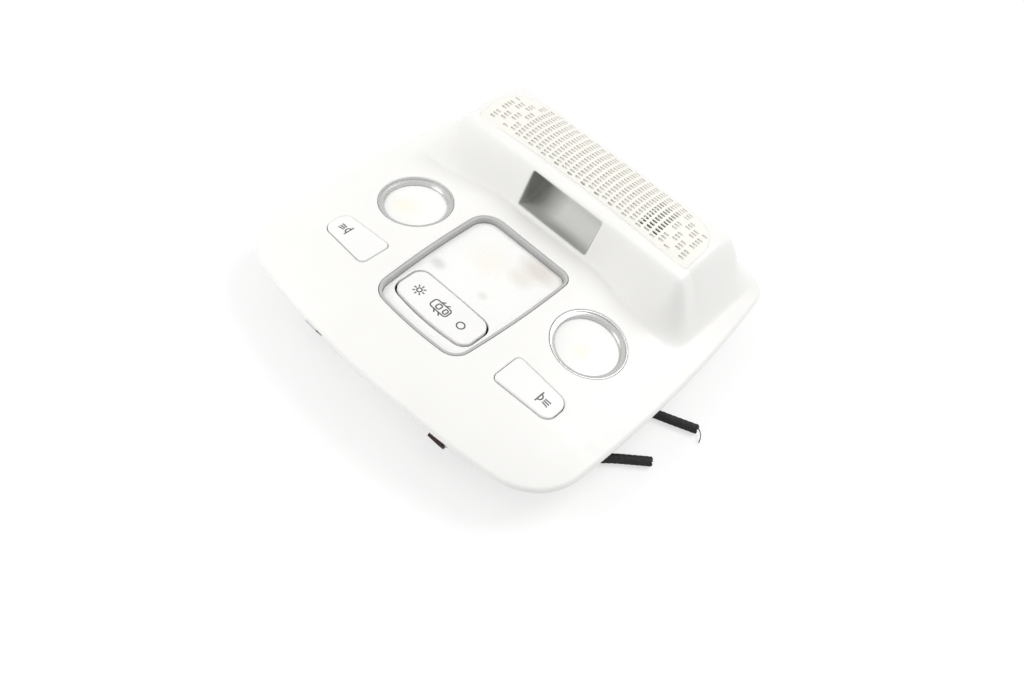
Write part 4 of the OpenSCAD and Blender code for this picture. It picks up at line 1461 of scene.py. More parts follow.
    def rib(self, shell: Shell) -> None:
        """Adds the rib round the housing.

        Args:
            shell: the shell that takes it.
        """
        box = rectangle(-self.rib_half, self.rib_front, self.rib_half, self.rib_rear)
        inner = polygon(box, [self.rib_corner] * 4, 2.0)
        outer = grown(inner, self.rib_t)

        def head(loop: Array) -> Array:
            """The rib's upper end: inside the face, and never as high as the window."""
            return np.minimum(self.form.at(loop, self.root), [np.inf, np.inf, self.rib_top])

        rows = rolled([head(outer), lifted(outer, self.rib_low), lifted(inner, self.rib_low),
                       head(inner)], [0.3, 0.3], 2)
        shell.carry(np.concatenate([rows, rows[:1]]), outward=True)

    def stiffeners(self, shell: Shell) -> None:
        """Adds the rib, the screw bosses and the clip towers.

        Args:
            shell: the shell that takes them.
        """
        self.rib(shell)
        circle = on_circle(full_turn(32))
        half_x, half_y = self.tower_half
        for side in Side:
            for x, y in self.boss_spots:
                ring, bore = ([side.value * x, y] + radius * circle
                              for radius in (self.boss_r, self.bore_r))
                rows = [self.form.at(ring, self.root), lifted(ring, self.boss_low),
                        lifted(bore, self.boss_low), lifted(bore, self.bore_top)]
                shell.carry(rolled(rows, [0.3, 0.2], 2), outward=True)
            for x, y in self.tower_spots:
                block = np.array(rectangle(-half_x, -half_y, half_x, half_y))
                outline = polygon(block + [side.value * x, y], [self.tower_corner] * 4, 0.6)
                shell.prism(outline, self.tower_low, self.form.at(outline, self.root)[:, 2])

    def build(self) -> None:
        """Builds the face."""
        shell = Shell()
        self.skin(shell)
        self.stiffeners(shell)
        self.bezel()
        self.shop.fit(shell, "console_face", "face_plastic", "console", "fascia")


@dataclass
class Grille:
    """The curved grille: a vaulted sheet pierced by columns of short moulded slots."""

    shop: Workshop
    cuts: Openings
    thick: float = 0.8
    felt_t: float = 1.4
    pitch_x: float = 4.2
    pitch_y: float = 2.0
    columns: int = 15
    rows: int = 8
    slot_l: float = 3.0
    slot_w: float = 1.1
    slot_corner: float = 0.42
    slot_step: float = 0.62
    spacing: float = 1.5
    border: float = 0.5
    front_border: float = 1.2
    dense_half: float = 43.5
    dense_fade: float = 12.0
    lip: float = 0.12
    rim: float = 0.12
    ledge: float = 2.3
    mat_gap: float = 0.05
    mat_spacing: float = 2.0
    microphone: tuple[float, float, float, float] = (32.2, -12.6, 43.6, 6.5)
    microphone_corner: float = 1.0

    def slots(self) -> Array:
        """Middles of the slots as (x, distance along the vault from its crest).

        All columns are full in the middle; further out only groups of each five remain.

        Returns:
            The middles, one row each.
        """
        form, cuts = self.shop.form, self.cuts
        columns, rows = (np.arange(-n, n + 1) for n in (self.columns, self.rows))
        i, j = (a.ravel() for a in np.meshgrid(columns, rows))
        x = np.abs(i) * self.pitch_x
        along = (j + np.where(i % 2 == 0, 0, 0.5)) * self.pitch_y
        y = form.crest_y + form.crest_r * np.sin(along / form.crest_r)
        round_x = np.maximum(x + self.slot_l / 2 - cuts.grille_half + cuts.grille_corner, 0)
        round_y = np.maximum(y + self.slot_w / 2 - cuts.grille_rear + cuts.grille_corner, 0)
        group = (j + 20 + 2 * np.abs(i)) % 5
        there = ((x < cuts.grille_half - self.border - self.slot_l / 2)
                 & (y > cuts.grille_front + cuts.grille_bow + self.front_border)
                 & (np.hypot(round_x, round_y) < cuts.grille_corner - self.border)
                 & ((x <= self.dense_half)
                    | (group < np.where(x < self.dense_half + self.dense_fade, 3, 4))))
        return np.column_stack([i * self.pitch_x, along])[there]

    def on_vault(self, flat: Array, radius: float) -> Array:
        """Rolls a flat drawing onto a cylinder about the vault's axis.

        Args:
            flat: points as (x, distance along the vault from its crest).
            radius: the cylinder's radius.

        Returns:
            Points as (x, y, z).
        """
        form = self.shop.form
        angle = flat[..., 1] / form.crest_r
        return np.stack([flat[..., 0], form.crest_y + radius * np.sin(angle),
                         form.axis_z + radius * np.cos(angle)], axis=-1)

    def flat_outline(self) -> Array:
        """Unrolls the grille's outline.

        Returns:
            Its points as (x, distance along the vault from its crest).
        """
        form, outline = self.shop.form, self.cuts.grille(1.2)
        along = form.crest_r * np.arcsin((outline[:, 1] - form.crest_y) / form.crest_r)
        return np.column_stack([outline[:, 0], along])

    def plate(self) -> None:
        """Builds the slotted plate."""
        flat = self.flat_outline()
        inset = grown(flat, -self.rim)
        half_l, half_w = self.slot_l / 2, self.slot_w / 2
        slot = polygon(rectangle(-half_l, -half_w, half_l, half_w), [self.slot_corner] * 4,
                       self.slot_step)
        middles = self.slots()
        edges = middles[:, None] + slot
        mouths = middles[:, None] + grown(slot, self.lip)
        top = trimmed_plan(inset, list(mouths), self.spacing)
        bottom = trimmed_plan(flat, list(edges), 2 * self.spacing)
        outer = self.shop.form.crest_r
        inner = outer - self.thick
        shell = Shell()
        upper = shell.sheet(top, self.on_vault(top.points, outer))
        lower = shell.sheet(bottom, self.on_vault(bottom.points, inner), flipped=True)
        section = rolled([self.on_vault(inset, outer), self.on_vault(flat, outer),
                          self.on_vault(flat, inner)], [self.rim], 3)
        shell.carry(section, upper[0], lower[0], outward=True)
        middle = shell.add(self.on_vault(edges, outer - self.lip))
        shell.bridge(np.stack(upper[1:]), middle)
        shell.bridge(middle, np.stack(lower[1:]))
        LOG.info("grille slots: %d", len(middles))
        self.shop.fit(shell, "speaker_grille", "grille_plastic", "console", "grille")

    def mat(self) -> None:
        """Builds the felt under the plate, open over the microphone."""
        hole = polygon(rectangle(*self.microphone), [self.microphone_corner] * 4, 1.0)
        outline = spaced(grown(self.flat_outline(), -self.ledge), self.spacing)
        plan = trimmed_plan(outline, [hole], self.mat_spacing)
        outer = self.shop.form.crest_r - self.thick - self.mat_gap
        inner = outer - self.felt_t
        shell = Shell()
        upper = shell.sheet(plan, self.on_vault(plan.points, outer))
        lower = shell.sheet(plan, self.on_vault(plan.points, inner), flipped=True)
        walls = [np.stack([self.on_vault(loop, outer), self.on_vault(loop, inner)])
                 for loop in (outline, hole)]
        shell.carry(walls[0], upper[0], lower[0], outward=True)
        shell.carry(walls[1], upper[1], lower[1])
        self.shop.fit(shell, "grille_felt", "felt", "console", "acoustic_felt")

    def build(self) -> None:
        """Builds the plate and the felt under it."""
        self.plate()
        self.mat()


@dataclass
class Tray:
    """The grey pocket that closes the empty display window."""

    shop: Workshop
    cuts: Openings
    wall: float = 0.3
    gap: float = 0.1
    scoop_r: float = 12.5
    wall_from_y: float = 18.0
    floor_y: float = 20.0
    ceiling_y: float = 24.0
    back: float = 40.8
    back_top: float = 3.6
    slant: float = 2.6
    set_back: float = 0.45
    corner: float = 2.6
    knee: Span = (0.75, 0.6)
    shoulder: Span = (0.7, 0.15)
    ceiling_from: float = 0.2
    long_points: int = 14
    short_points: int = 5

    def section(self, inset: float) -> Array:
        """Section of the pocket as (y, z), from the mouth along the floor, back and ceiling.

        Args:
            inset: how far it lies inside the tray's outer side.

        Returns:
            The section, from its lower front to its upper front.
        """
        form = self.shop.form
        low = form.height + self.cuts.window_low + self.gap + inset
        top = form.height + self.cuts.window_top - self.gap - inset
        back = self.back - inset
        radius = self.scoop_r + self.wall - inset
        corners = np.array([[self.floor_y, low], [back - radius, low], [back, low],
                            [back, low + radius], [back, top - self.back_top],
                            [back - self.slant, top], [self.ceiling_y, top]])

        def between(k: int, share: float) -> Array:
            """The point a share of the way from corner k to the next one."""
            return corners[k] * (1 - share) + corners[k + 1] * share

        def curve(k: int, shares: Span) -> Array:
            """The arc round corner k, between shares of the ways to it and from it."""
            start, end = between(k - 1, shares[0]), between(k, shares[1])
            return arc_between(start, corners[k], end, self.short_points)

        floor = np.linspace(corners[0], corners[1], self.long_points)[:-1]
        scoop = arc_between(corners[1], corners[2], corners[3], self.long_points)
        rise = between(3, 1 / 3)
        knee, shoulder = curve(4, self.knee), curve(5, self.shoulder)
        ceiling = np.linspace(between(5, self.ceiling_from), corners[6], 2 * self.short_points)
        return np.vstack([floor, scoop, rise, knee, shoulder, ceiling])

    def mouth(self, z: Array) -> Array:
        """Where the hump's front wall stands along Y at a height, a little set back."""
        y = np.linspace(self.wall_from_y, self.shop.form.ridge_y, WALL_SAMPLES)
        return np.interp(z, self.shop.form.middle(y), y) + self.set_back

    def pocket(self, inset: float, half: float) -> Array:
        """Surface of the pocket: its section drawn in towards the mouth at both ends.

        At x the depth is scaled by the root of 1 - ((x - straight part) / corner) squared.

        Args:
            inset: how far the surface lies inside the tray's outer side.
            half: half its width.

        Returns:
            Rows of points, one for each place along X.
        """
        section = self.section(inset)
        angle = np.linspace(0, math.pi / 2, 7)
        edge = half - self.corner + self.corner * np.sin(angle)
        level = np.linspace(-half + self.corner, half - self.corner, 24)[1:-1]
        x = np.concatenate([-edge[::-1], level, edge])
        scale = np.concatenate([np.cos(angle[::-1]), np.ones(len(level)), np.cos(angle)])
        front = self.mouth(section[:, 1])
        y = front + np.maximum(section[:, 0] - front, 0) * scale[:, None]
        return np.stack(np.broadcast_arrays(x[:, None], y, section[:, 1]), axis=-1)

    def build(self) -> None:
        """Builds the tray."""
        shell = Shell()
        half = self.cuts.window_half - self.gap
        inside = shell.carry(self.pocket(self.wall, half - self.wall), closed=False, outward=True)
        outside = shell.carry(self.pocket(0.0, half), closed=False)
        for a, b, flipped in ((inside[:, 0], outside[:, 0], True),
                              (inside[:, -1], outside[:, -1], False),
                              (inside[0], outside[0], False), (inside[-1], outside[-1], True)):
            shell.bridge(a, b, closed=False, flipped=flipped)
        self.shop.fit(shell, "window_tray", "tray_plastic", "console", "blank_tray")


@dataclass
class CourtesyLens:
    """The milky courtesy lens, with its hidden flange and the cut-out for the rocker."""

    shop: Workshop
    cuts: Openings
    top: float = 31.0
    thick: float = 1.8
    flange_t: float = 1.6
    flange: float = 2.0
    flange_in: float = 1.0
    side_gap: float = 0.15
    rocker_gap: float = 1.0
    lip: float = 0.45
    flange_roll: float = 0.2
    spacing: float = 2.2
    under_spacing: float = 3.0

    def build(self) -> None:
        """Builds the lens."""
        shell = Shell()
        edge = grown(self.cuts.lens(1.0), -self.side_gap)
        hole = grown(self.cuts.rocker(0.8), self.rocker_gap)
        brim, mouth = grown(edge, -self.lip), grown(hole, self.lip)
        wide, narrow = grown(edge, self.flange), grown(edge, -self.flange_in)
        shelf = self.top - self.thick
        low = shelf - self.flange_t
        top = trimmed_plan(brim, [mouth], self.spacing)
        bottom = trimmed_plan(narrow, [hole], self.under_spacing)
        upper = shell.sheet(top, lifted(top.points, self.top))
        lower = shell.sheet(bottom, lifted(bottom.points, shelf), flipped=True)
        rim = [lifted(brim, self.top), lifted(edge, self.top), lifted(edge, shelf),
               lifted(wide, shelf), lifted(wide, low), lifted(narrow, low), lifted(narrow, shelf)]
        rim = rolled(rim, [self.lip, 0, self.flange_roll, self.flange_roll, 0], 3)
        shell.carry(rim, upper[0], lower[0], outward=True)
        well = [lifted(mouth, self.top), lifted(hole, self.top), lifted(hole, shelf)]
        shell.carry(rolled(well, [self.lip], 3), upper[1], lower[1])
        self.shop.fit(shell, "courtesy_light_lens", "diffuser", "console", "courtesy_lens",
                      finish="courtesy_lens")


@dataclass
class ReadingLight:
    """One reading light: the silver ring in the face and the frosted lens under it."""

    shop: Workshop
    cuts: Openings
    side: Side
    lens_r: float = 15.0
    recess: float = 2.3
    lens_t: float = 1.6
    gap: float = 0.15
    ring_low: float = -7.6
    ring_top: float = -0.3
    section_step: float = 0.32
    ring_turns: int = 128
    lens_turns: int = 96

    def place(self, points: Array) -> Array:
        """Carries points from the light's own frame into the console's."""
        form, cuts = self.shop.form, self.cuts
        return form.wing(points + [form.along_wing(cuts.lamp_x), cuts.lamp_y, 0], self.side)

    def turned(self, section: Sequence[Sequence[float]], radii: Sequence[float],
               turns: int) -> Shell:
        """Turns a closed section with rolled corners round the light's axis.

        Args:
            section: its corners as (r, z), anticlockwise with r to the right.
            radii: radius of each corner.
            turns: number of spans round the axis.

        Returns:
            The turned shell.
        """
        shell = Shell()
        line = polygon(section, radii, self.section_step)
        shell.revolve(line if self.side is Side.RIGHT else line[::-1], turns, self.place)
        return shell

    def build(self) -> None:
        """Builds the ring and the lens."""
        word = self.side.name.lower()
        rim, lens, seat = self.cuts.lamp_r - self.gap, self.lens_r, -self.recess
        ring = self.turned([[lens, seat - 0.3], [lens, seat - 0.8], [lens + 1.4, seat - 0.8],
                            [lens + 1.4, self.ring_low], [rim, self.ring_low],
                            [rim, self.ring_top], [lens + 2.35, self.ring_top],
                            [lens + 2.25, -1.1], [lens + 1.85, -1.1], [lens + 0.7, -1.55],
                            [lens + 0.62, -1.85]],
                           [0.12, 0.1, 0.1, 0.2, 0.2, 0.25, 0.12, 0.1, 0.12, 0.15, 0.1],
                           self.ring_turns)
        self.shop.fit(ring, f"reading_ring_{word}", "ring_plastic", "console", f"lamp_ring_{word}")
        top, edge = seat - 0.85, lens + 1.25
        flat = self.turned([[0.001, top - self.lens_t], [edge, top - self.lens_t], [edge, top],
                            [0.001, top + 0.35]], [0.0, 0.2, 0.2, 0.0], self.lens_turns)
        self.shop.fit(flat, f"reading_light_lens_{word}", "clear_lens", "console",
                      f"reading_lens_{word}", finish=f"reading_lens_{word}")


@dataclass
class Cap:
    """A key cap: a crowned sheet with a rolled edge, walls and a hollow underside."""

    outline: Array
    surface: Callable[[Array], Array]
    low: float
    roof: float
    wall: float
    roll: float = 0.7
    foot_roll: float = 0.2
    spacing: float = 0.9
    roof_spacing: float = 2.5

    def add_to(self, shell: Shell, place: Callable[[Array], Array]) -> None:
        """Adds the cap to a shell.

        Args:
            shell: the shell that takes it.
            place: carries points from the cap's frame to where they belong.
        """
        start, inner = grown(self.outline, -self.roll), grown(self.outline, -self.wall)
        plan = trimmed_plan(start, [], self.spacing)
        under = trimmed_plan(inner, [], self.roof_spacing)
        top = shell.sheet(plan, place(self.surface(plan.points)))
        section = rolled([self.surface(start), self.surface(self.outline),
                          lifted(self.outline, self.low), lifted(inner, self.low),
                          lifted(inner, self.roof)],
                         [self.roll, self.foot_roll, self.foot_roll], 5)
        roof = shell.sheet(under, place(lifted(under.points, self.roof)), flipped=True)
        shell.carry(place(section), top[0], roof[0], outward=True)


@dataclass
class Marks:
    """Printed signs: thin raised lines that follow the surface under them."""

    shop: Workshop
    line_w: float = 0.66
    sunk: float = 0.05
    proud: float = 0.03

    def strokes(self, sign: Sign) -> list[tuple[Array, bool]]:
        """The lines of a sign, about its own middle.

        Args:
            sign: which sign.

        Returns:
            Each line's points, and whether it closes on itself.
        """

        def arc(x: float, r: float, begin: float, end: float) -> Array:
            """An arc about a point of the sign's level line, between two angles in degrees."""
            return np.array([x, 0.0]) + r * on_circle(np.radians(np.linspace(begin, end, 24)))

        def box(x: float, w: float, h: float, r: float) -> tuple[Array, bool]:
            """A rectangle with round corners about a point of the sign's level line."""
            corners = rectangle(x - w / 2, -h / 2, x + w / 2, h / 2)
            return polygon(corners, [r] * 4, 0.25), True

        if sign is Sign.SUN:
            rays = [np.array([[1.8], [3.1]]) * e for e in on_circle(full_turn(8))]
            return [(arc(0, 1.15, 0, 345), True)] + [(ray, False) for ray in rays]
        if sign is Sign.RING:
            return [(arc(0, 1.85, 0, 345), True)]
        if sign is Sign.CAR:
            doors = [np.array([[x, 2.5 * side], [x + 1.4, 3.9 * side]])
                     for x in (-1.7, 1.0) for side in (-1, 1)]
            boxes = [box(0, 9.8, 4.9, 1.5), box(-1.0, 2.3, 2.8, 0.8), box(2.9, 1.8, 2.6, 0.6)]
            return boxes + [(door, False) for door in doors]
        bar = np.array([[-2.4, -3.0], [-2.4, 3.0]])
        rays = [np.array([[0.1, 0.95 * k], [3.2, 1.35 * k]]) for k in (-1, 0, 1)]
        return [(line, False) for line in (bar, arc(-2.4, 1.6, -90, 90), *rays)]

    def draw(self, sign: Sign, name: str, body: str, to_surface: Callable[[Array], Array],
             up: Array) -> None:
        """Prints a sign on a surface.

        Args:
            sign: which sign.
            name: name of the piece.
            body: the body it moves with.
            to_surface: carries the sign's plan points to points of the surface.
            up: direction out of the surface.
        """
        shell = Shell()
        half = self.line_w / 2
        section = np.array(rectangle(-half, -self.sunk, half, self.proud))
        for line, closed in self.strokes(sign):
            if not closed:
                line = sampled(line, np.linspace(0, 1, len(line)), np.linspace(0, 1, 12))
            shell.sweep(to_surface(line), section, up, closed)
        self.shop.fit(shell, name, "dark_plastic", body, finish="ink")


@dataclass
class Rocker:
    """The three-way rocker, with its lever, its trunnions and its printed signs."""

    shop: Workshop
    cuts: Openings
    proud: float = -2.1
    roof: float = 29.8
    crown_r: float = 420.0
    pivot_z: float = 25.0
    skirt: float = 2.0
    wall: float = 1.6
    trunnion_r: float = 1.5
    trunnion_l: float = 2.4
    spine_half: float = 4.0
    lever_half: Span = (1.2, 2.5)
    lever_l: float = 9.0
    lever_tip: float = 0.9
    bevel: float = 0.25
    block_corner: float = 0.4
    bite: Span = (0.3, 1.2)
    sign_x: float = 12.9
    sign_y: float = -47.0

    def top(self, plan: Array) -> Array:
        """The crowned top: face height + proud - x squared over twice the crown's radius."""
        fall = (plan[:, 0] - self.cuts.middle_x) ** 2 / (2 * self.crown_r)
        return lifted(plan, self.shop.form.height + self.proud - fall)

    def build(self) -> None:
        """Builds the rocker and its signs."""
        cuts = self.cuts
        front = cuts.rocker_front_y - cuts.rocker_bow
        mid_y, half = (cuts.rocker_rear_y + front) / 2, (cuts.rocker_rear_y - front) / 2
        shell = Shell()
        cap = Cap(cuts.rocker(0.7), self.top, self.pivot_z + self.skirt, self.roof, self.wall)
        cap.add_to(shell, lambda p: p)
        disc = self.trunnion_r * on_circle(full_turn(40))
        reach = half + self.trunnion_l

        def lying(points: Array) -> Array:
            """Turns Z to run along Y through the hinge."""
            return np.stack([points[..., 0], mid_y + points[..., 2],
                             self.pivot_z - points[..., 1]], axis=-1)

        shell.prism(disc, -reach, reach, self.bevel, lying)

        def block(w: float, d: float, low: float, high: float) -> None:
            """Adds an upright block on the rocker's middle, of half sizes w and d."""
            box = rectangle(-w, mid_y - d, w, mid_y + d)
            shell.prism(polygon(box, [self.block_corner] * 4, 0.5), low, high, self.bevel)

        level, (into_roof, below) = self.pivot_z, self.bite
        block(self.spine_half, half - 1, level - self.trunnion_r, self.roof + into_roof)
        block(*self.lever_half, level - self.lever_l - self.lever_tip, level - below)
        self.shop.fit(shell, "rocker_key", "switch_plastic", "rocker", "rocker")
        marks = Marks(self.shop)
        for sign, offset in ((Sign.SUN, -self.sign_x), (Sign.CAR, 0.5), (Sign.RING, self.sign_x)):
            spot = np.array([cuts.middle_x + offset, self.sign_y])
            marks.draw(sign, f"rocker_sign_{sign.value}", "rocker",
                       lambda p, spot=spot: self.top(p + spot), np.array([0, 0, 1]))


@dataclass
class PushButton:
    """One push button of a reading light, with its printed sign."""

    shop: Workshop
    cuts: Openings
    side: Side
    proud: float = 0.5
    depth: float = 6.0
    cap_t: float = 1.8
    wall: float = 1.4
    roll: float = 0.6
    dish: float = 0.12
    sign_x: float = 27.8
    sign_y: float = -48.0

    def top(self, plan: Array) -> Array:
        """The cap's top in the wing's frame: proud, less the dish times t squared.

        Args:
            plan: points as (x, y); t runs from -1 to 1 along the button.

        Returns:
            Points as (x, y, z).
        """
        a = self.cuts.form.along_wing(self.cuts.button_in_x)
        b = self.cuts.form.along_wing(self.cuts.button_out_x)
        t = (2 * plan[:, 0] - a - b) / (b - a)
        return lifted(plan, self.proud - self.dish * t * t)

    def build(self) -> None:
        """Builds the button and its sign."""
        form = self.shop.form
        word = self.side.name.lower()
        shell = Shell()
        cap = Cap(self.cuts.button(0.7), self.top, -self.depth, self.proud - self.cap_t, self.wall,
                  self.roll)
        cap.add_to(shell, lambda points: form.wing(points, Side.RIGHT))
        if self.side is Side.LEFT:
            shell = shell.mirrored()
        self.shop.fit(shell, f"reading_button_{word}", "switch_plastic", f"button_{word}",
                      f"button_{word}")

        def to_surface(points: Array) -> Array:
            """Carries the sign's points to the button's top."""
            return form.wing(self.top(points + [self.sign_x, self.sign_y]), self.side)

        Marks(self.shop).draw(Sign.LAMP, f"reading_sign_{word}", f"button_{word}", to_surface,
                              -form.wing_down(self.side))


@dataclass
class CableEnd:
    """A cut harness cable on the table: a jacket with wire ends, and loose strands."""

    shop: Workshop
    name: str
    node: str
    route: tuple[tuple[float, float, float], ...]
    diameter: float = 4.6
    wisp: bool = False
    turns: int = 28
    ripple: float = 0.05
    ripple_turn: float = 2.4
    tip_waves: Span = (0.16, 0.1)
    bore_share: float = 0.8
    bore_lip: float = 0.2
    bore_taper: float = 0.95
    bore_depth: float = 1.6
    table_gap: float = 0.1
    core_r: float = 0.42
    core_offset: float = 1.05
    core_flare: float = 0.15
    core_back: float = 1.5
    core_l: Span = (1.6, 0.3)
    strand_r: float = 0.17
    strand_root: float = 1.3
    strand_back: float = 1.0
    strand_ahead: float = 3.6
    strand_turn: float = 1.9
    strand_aside: Span = (7.0, 0.5)
    strand_drop: float = 1.6
    strand_gap: float = 0.25
    strand_low: Span = (0.3, 0.2)

    def centre_line(self, count: int) -> Array:
        """A smooth line through the route: each coordinate a cubic through four neighbours.

        Args:
            count: number of points.

        Returns:
            The points of the line, evenly spread.
        """
        route = np.array(self.route)
        padded = np.vstack([2 * route[0] - route[1], route, 2 * route[-1] - route[-2]])
        t = np.linspace(0, 1, 24, endpoint=False)[:, None]
        spans = [0.5 * (2 * b + (c - a) * t + (2 * a - 5 * b + 4 * c - d) * t ** 2
                        + (3 * b - a - 3 * c + d) * t ** 3)
                 for a, b, c, d in zip(padded, padded[1:], padded[2:], padded[3:])]
        line = np.vstack(spans + [route[-1:]])
        along = run_along(line)
        return sampled(line, along, np.linspace(0, along[-1], count))

    def build(self) -> None:
        """Builds the cable and its strands.

        The radius ripples by a cosine of the distance along plus the angle, and the cut tip by
        the cosine of three times the angle and the sine of five times.
        """
        line = self.centre_line(90)
        ahead, side, top = carried_frame(line, np.array([0.0, 0.0, 1.0]))
        angle = full_turn(self.turns)
        along = np.arange(len(line))[:, None] * np.linalg.norm(line[1] - line[0])
        ripple = self.ripple * np.cos(self.ripple_turn * along + angle)
        radius = self.diameter / 2 - self.ripple + ripple
        rows = (line[:, None] + side[:, None] * (radius * np.cos(angle))[..., None]
                + top[:, None] * (radius * np.sin(angle))[..., None])
        rows[..., 2] = np.maximum(rows[..., 2], self.table_gap)
        slow, fast = self.tip_waves
        rows[-1] += ahead[-1] * (slow * np.cos(3 * angle) + fast * np.sin(5 * angle))[:, None]
        end = line[-1]
        mouth = end + (rows[-1] - end) * self.bore_share - ahead[-1] * self.bore_lip
        deep = end + (mouth - end) * self.bore_taper - ahead[-1] * self.bore_depth
        shell = Shell()
        shell.capped(np.concatenate([rows, mouth[None], deep[None]]))
        jacket = self.shop.fit(shell, self.name, "cable_jacket", "console", self.node)
        wires = self.wires(end, ahead[-1], side[-1], top[-1])
        float(run_along(line)[-1]) * MM

    def wires(self, end: Array, ahead: Array, side: Array, top: Array) -> list[Object]:
        """The cut wires inside the jacket, and one loose wisp of strands.

        A strand at t runs ahead by a sine, aside by t to the power 1.5 and down by t squared.

        Args:
            end: middle of the cut end.
            ahead: direction of the cable there.
            side: direction across it.
            top: direction up across it.

        Returns:
            The new pieces.
        """
        section = on_circle(full_turn(8))
        t = np.linspace(0, 1, 8)[:, None]
        cores = Shell()
        length, more = self.core_l
        for k, turn in enumerate(full_turn(5)):
            offset = self.core_offset * (side * math.cos(turn) + top * math.sin(turn))
            path = (end + offset * (1 + self.core_flare * t)
                    + ahead * (-self.core_back + (length + more * (k % 3)) * t))
            cores.sweep(path, self.core_r * section, top)
        pieces = [self.shop.fit(cores, f"{self.name}_cores", "dark_plastic", "console")]
        if self.wisp:
            t = np.linspace(0, 1, 24)[:, None]
            strands = Shell()
            (wide, spread), (low, layer) = self.strand_aside, self.strand_low
            run = self.strand_ahead * np.sin(self.strand_turn * t) - self.strand_back
            for k in range(3):
                aside = (wide + spread * (k - 1)) * t ** 1.5
                path = (end - self.strand_root * side + ahead * run + side * aside
                        - top * self.strand_drop * t ** 2 + top * self.strand_gap * k)
                path[:, 2] = np.maximum(path[:, 2], low + layer * k)
                strands.sweep(path, self.strand_r * section, top)
            pieces.append(self.shop.fit(strands, f"{self.name}_strands", "dark_plastic", "console"))
        return pieces


@dataclass
class InnerParts:
    """The inner parts: each keeps its own shape and takes the finish of its slot."""

    shop: Workshop

    def dress(self) -> None:
        """Gives every part that still shows the material of its slot."""
        slots = {part["node"]: part["material_slot"] for part in frame["record"]["subparts"]}
        for name, part in frame["nodes"].items():
            if part.hide_render:
                continue
            part.data.materials.clear()
            part.data.materials.append(self.shop.material(slots[name]))
            LOG.info("%s: finish %s", name, slots[name])


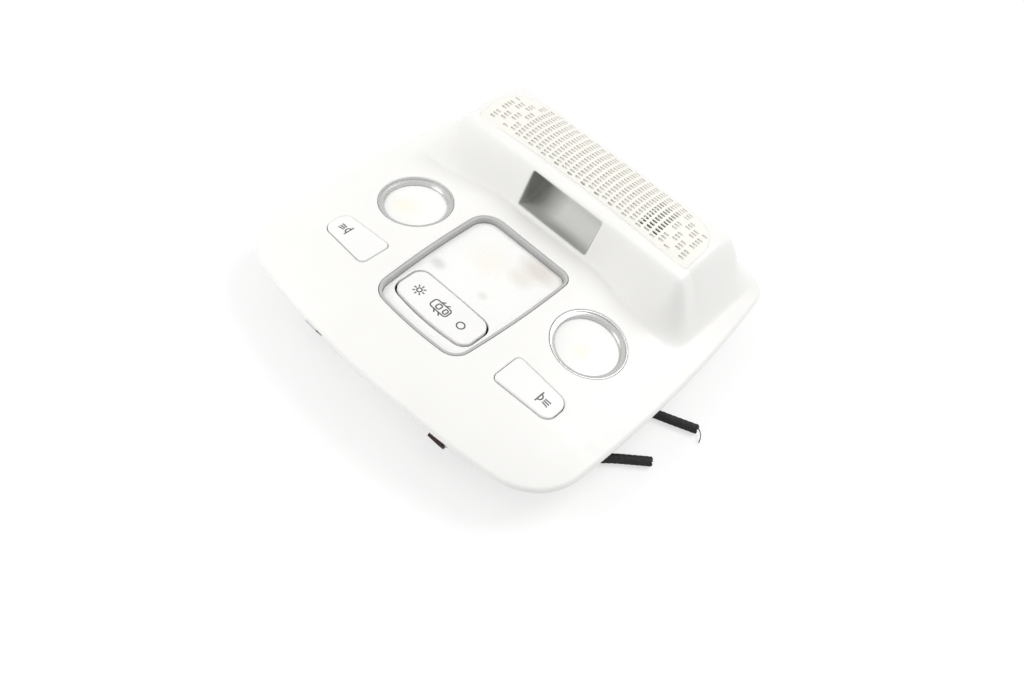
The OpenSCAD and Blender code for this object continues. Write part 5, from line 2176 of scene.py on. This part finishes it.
@dataclass
class Studio:
    """The plain floor, the soft lamps and the camera."""

    floor_half: float = 3.0
    floor_glow: float = 0.56
    floor_lift: float = 1.1
    ambient: float = 0.62
    paper: Colour = (0.93, 0.93, 0.925)
    paper_roughness: float = 0.9
    paper_gloss: float = 0.1
    place: tuple[float, float, float] = (162.5, -257.0, 351.0)
    heading: float = -30.5233
    pitch: float = 51.1513
    roll: float = 15.766
    lens: float = 33.4

    def floor(self) -> None:
        """A pale floor that the camera sees as white and that keeps the console's shadow."""
        mesh = bpy.data.meshes.new("floor")
        s = self.floor_half
        mesh.from_pydata([(-s, -s, 0), (s, -s, 0), (s, s, 0), (-s, s, 0)], [], [(0, 1, 2, 3)])
        floor = put("floor", mesh)
        material = bpy.data.materials.new("floor_paper")
        material.use_nodes = True
        tree = material.node_tree
        shader = tree.nodes["Principled BSDF"]
        shader.inputs["Base Color"].default_value = (*self.paper, 1)
        shader.inputs["Roughness"].default_value = self.paper_roughness
        shader.inputs["Specular IOR Level"].default_value = self.paper_gloss
        glow = tree.nodes.new("ShaderNodeEmission")
        glow.inputs["Strength"].default_value = self.floor_lift
        rays = tree.nodes.new("ShaderNodeLightPath")
        share = tree.nodes.new("ShaderNodeMath")
        share.operation = "MULTIPLY"
        share.inputs[1].default_value = self.floor_glow
        mix = tree.nodes.new("ShaderNodeMixShader")
        tree.links.new(rays.outputs["Is Camera Ray"], share.inputs[0])
        tree.links.new(share.outputs["Value"], mix.inputs["Fac"])
        tree.links.new(shader.outputs["BSDF"], mix.inputs[1])
        tree.links.new(glow.outputs["Emission"], mix.inputs[2])
        tree.links.new(mix.outputs["Shader"], tree.nodes["Material Output"].inputs["Surface"])
        mesh.materials.append(material)

    def world(self) -> None:
        """White to the camera, to gloss and to glass; a softer light for everything else."""
        world = bpy.data.worlds.new("white_room")
        bpy.context.scene.world = world
        world.use_nodes = True
        tree = world.node_tree
        back = tree.nodes["Background"]
        rays = tree.nodes.new("ShaderNodeLightPath")
        seen = rays.outputs["Is Camera Ray"]
        for kind in ("Is Glossy Ray", "Is Transmission Ray"):
            either = tree.nodes.new("ShaderNodeMath")
            either.operation = "MAXIMUM"
            tree.links.new(seen, either.inputs[0])
            tree.links.new(rays.outputs[kind], either.inputs[1])
            seen = either.outputs["Value"]
        strength = tree.nodes.new("ShaderNodeMapRange")
        strength.inputs["To Min"].default_value = self.ambient
        strength.inputs["To Max"].default_value = 1.0
        tree.links.new(seen, strength.inputs["Value"])
        tree.links.new(strength.outputs["Result"], back.inputs["Strength"])
        back.inputs["Color"].default_value = (1, 1, 1, 1)

    def lamp(self, name: str, place: tuple[float, float, float], size: float, power: float) -> None:
        """A square area lamp that looks at the console.

        Args:
            name: name of the lamp.
            place: its place, in metres.
            size: its side, in metres.
            power: its power, in watts.
        """
        light = bpy.data.lights.new(name, "AREA")
        light.size = size
        light.energy = power
        lamp = put(name, light)
        lamp.location = place
        lamp.rotation_euler = (-Vector(place)).to_track_quat("-Z", "Y").to_euler()

    def camera(self) -> None:
        """The camera, from its place, heading, pitch and roll."""
        data = bpy.data.cameras.new("camera")
        data.lens = self.lens
        data.clip_start = 0.01
        camera = put("camera", data)
        h, p, r = (math.radians(a) for a in (self.heading, self.pitch, self.roll))
        ahead = Vector((math.sin(h) * math.cos(p), math.cos(h) * math.cos(p), -math.sin(p)))
        level = ahead.cross(Vector((0, 0, 1))).normalized()
        right = level * math.cos(r) + level.cross(ahead) * math.sin(r)
        up = right.cross(ahead)
        turn = Matrix((right, up, -ahead)).transposed().to_4x4()
        camera.matrix_world = Matrix.Translation(Vector(self.place) * MM) @ turn
        bpy.context.scene.camera = camera

    def build(self) -> None:
        """Sets the stage."""
        self.floor()
        self.world()
        self.lamp("key", place=(0.35, 0.75, 1.1), size=0.7, power=8.2)
        self.lamp("fill", place=(-0.9, -0.6, 1.0), size=0.9, power=5.0)
        self.lamp("front", place=(-0.40, -0.52, 0.22), size=0.4, power=0.85)
        self.camera()
        bpy.context.scene.view_settings.view_transform = "Standard"


UPPER_ROUTE = ((73, -2, 6.6), (78, -2, 6.6), (84, 1, 4.6), (90, 4.8, 2.6), (97, 8, 2.4),
               (104, 11.2, 2.4), (110, 14, 2.4))
LOWER_ROUTE = ((73, -44.5, 6.6), (78, -44.5, 6.6), (83, -40, 4.6), (88, -34, 2.6),
               (94, -27.5, 2.4), (100, -21.8, 2.4), (106, -16.2, 2.4))


def main() -> None:
    """Builds the console, piece by piece."""
    logging.basicConfig(level=logging.INFO, format="%(message)s")
    Studio().build()
    shop = Workshop()
    cuts = Openings(shop.form)
    CableEnd(shop, "harness_cable_upper", "cable_upper", UPPER_ROUTE, wisp=True).build()
    CableEnd(shop, "harness_cable_lower", "cable_lower", LOWER_ROUTE).build()
    Face(shop, cuts).build()
    Grille(shop, cuts).build()
    Tray(shop, cuts).build()
    CourtesyLens(shop, cuts).build()
    Rocker(shop, cuts).build()
    for side in Side:
        ReadingLight(shop, cuts, side).build()
        PushButton(shop, cuts, side).build()
    InnerParts(shop).dress()


if __name__ == "__main__":
    main()
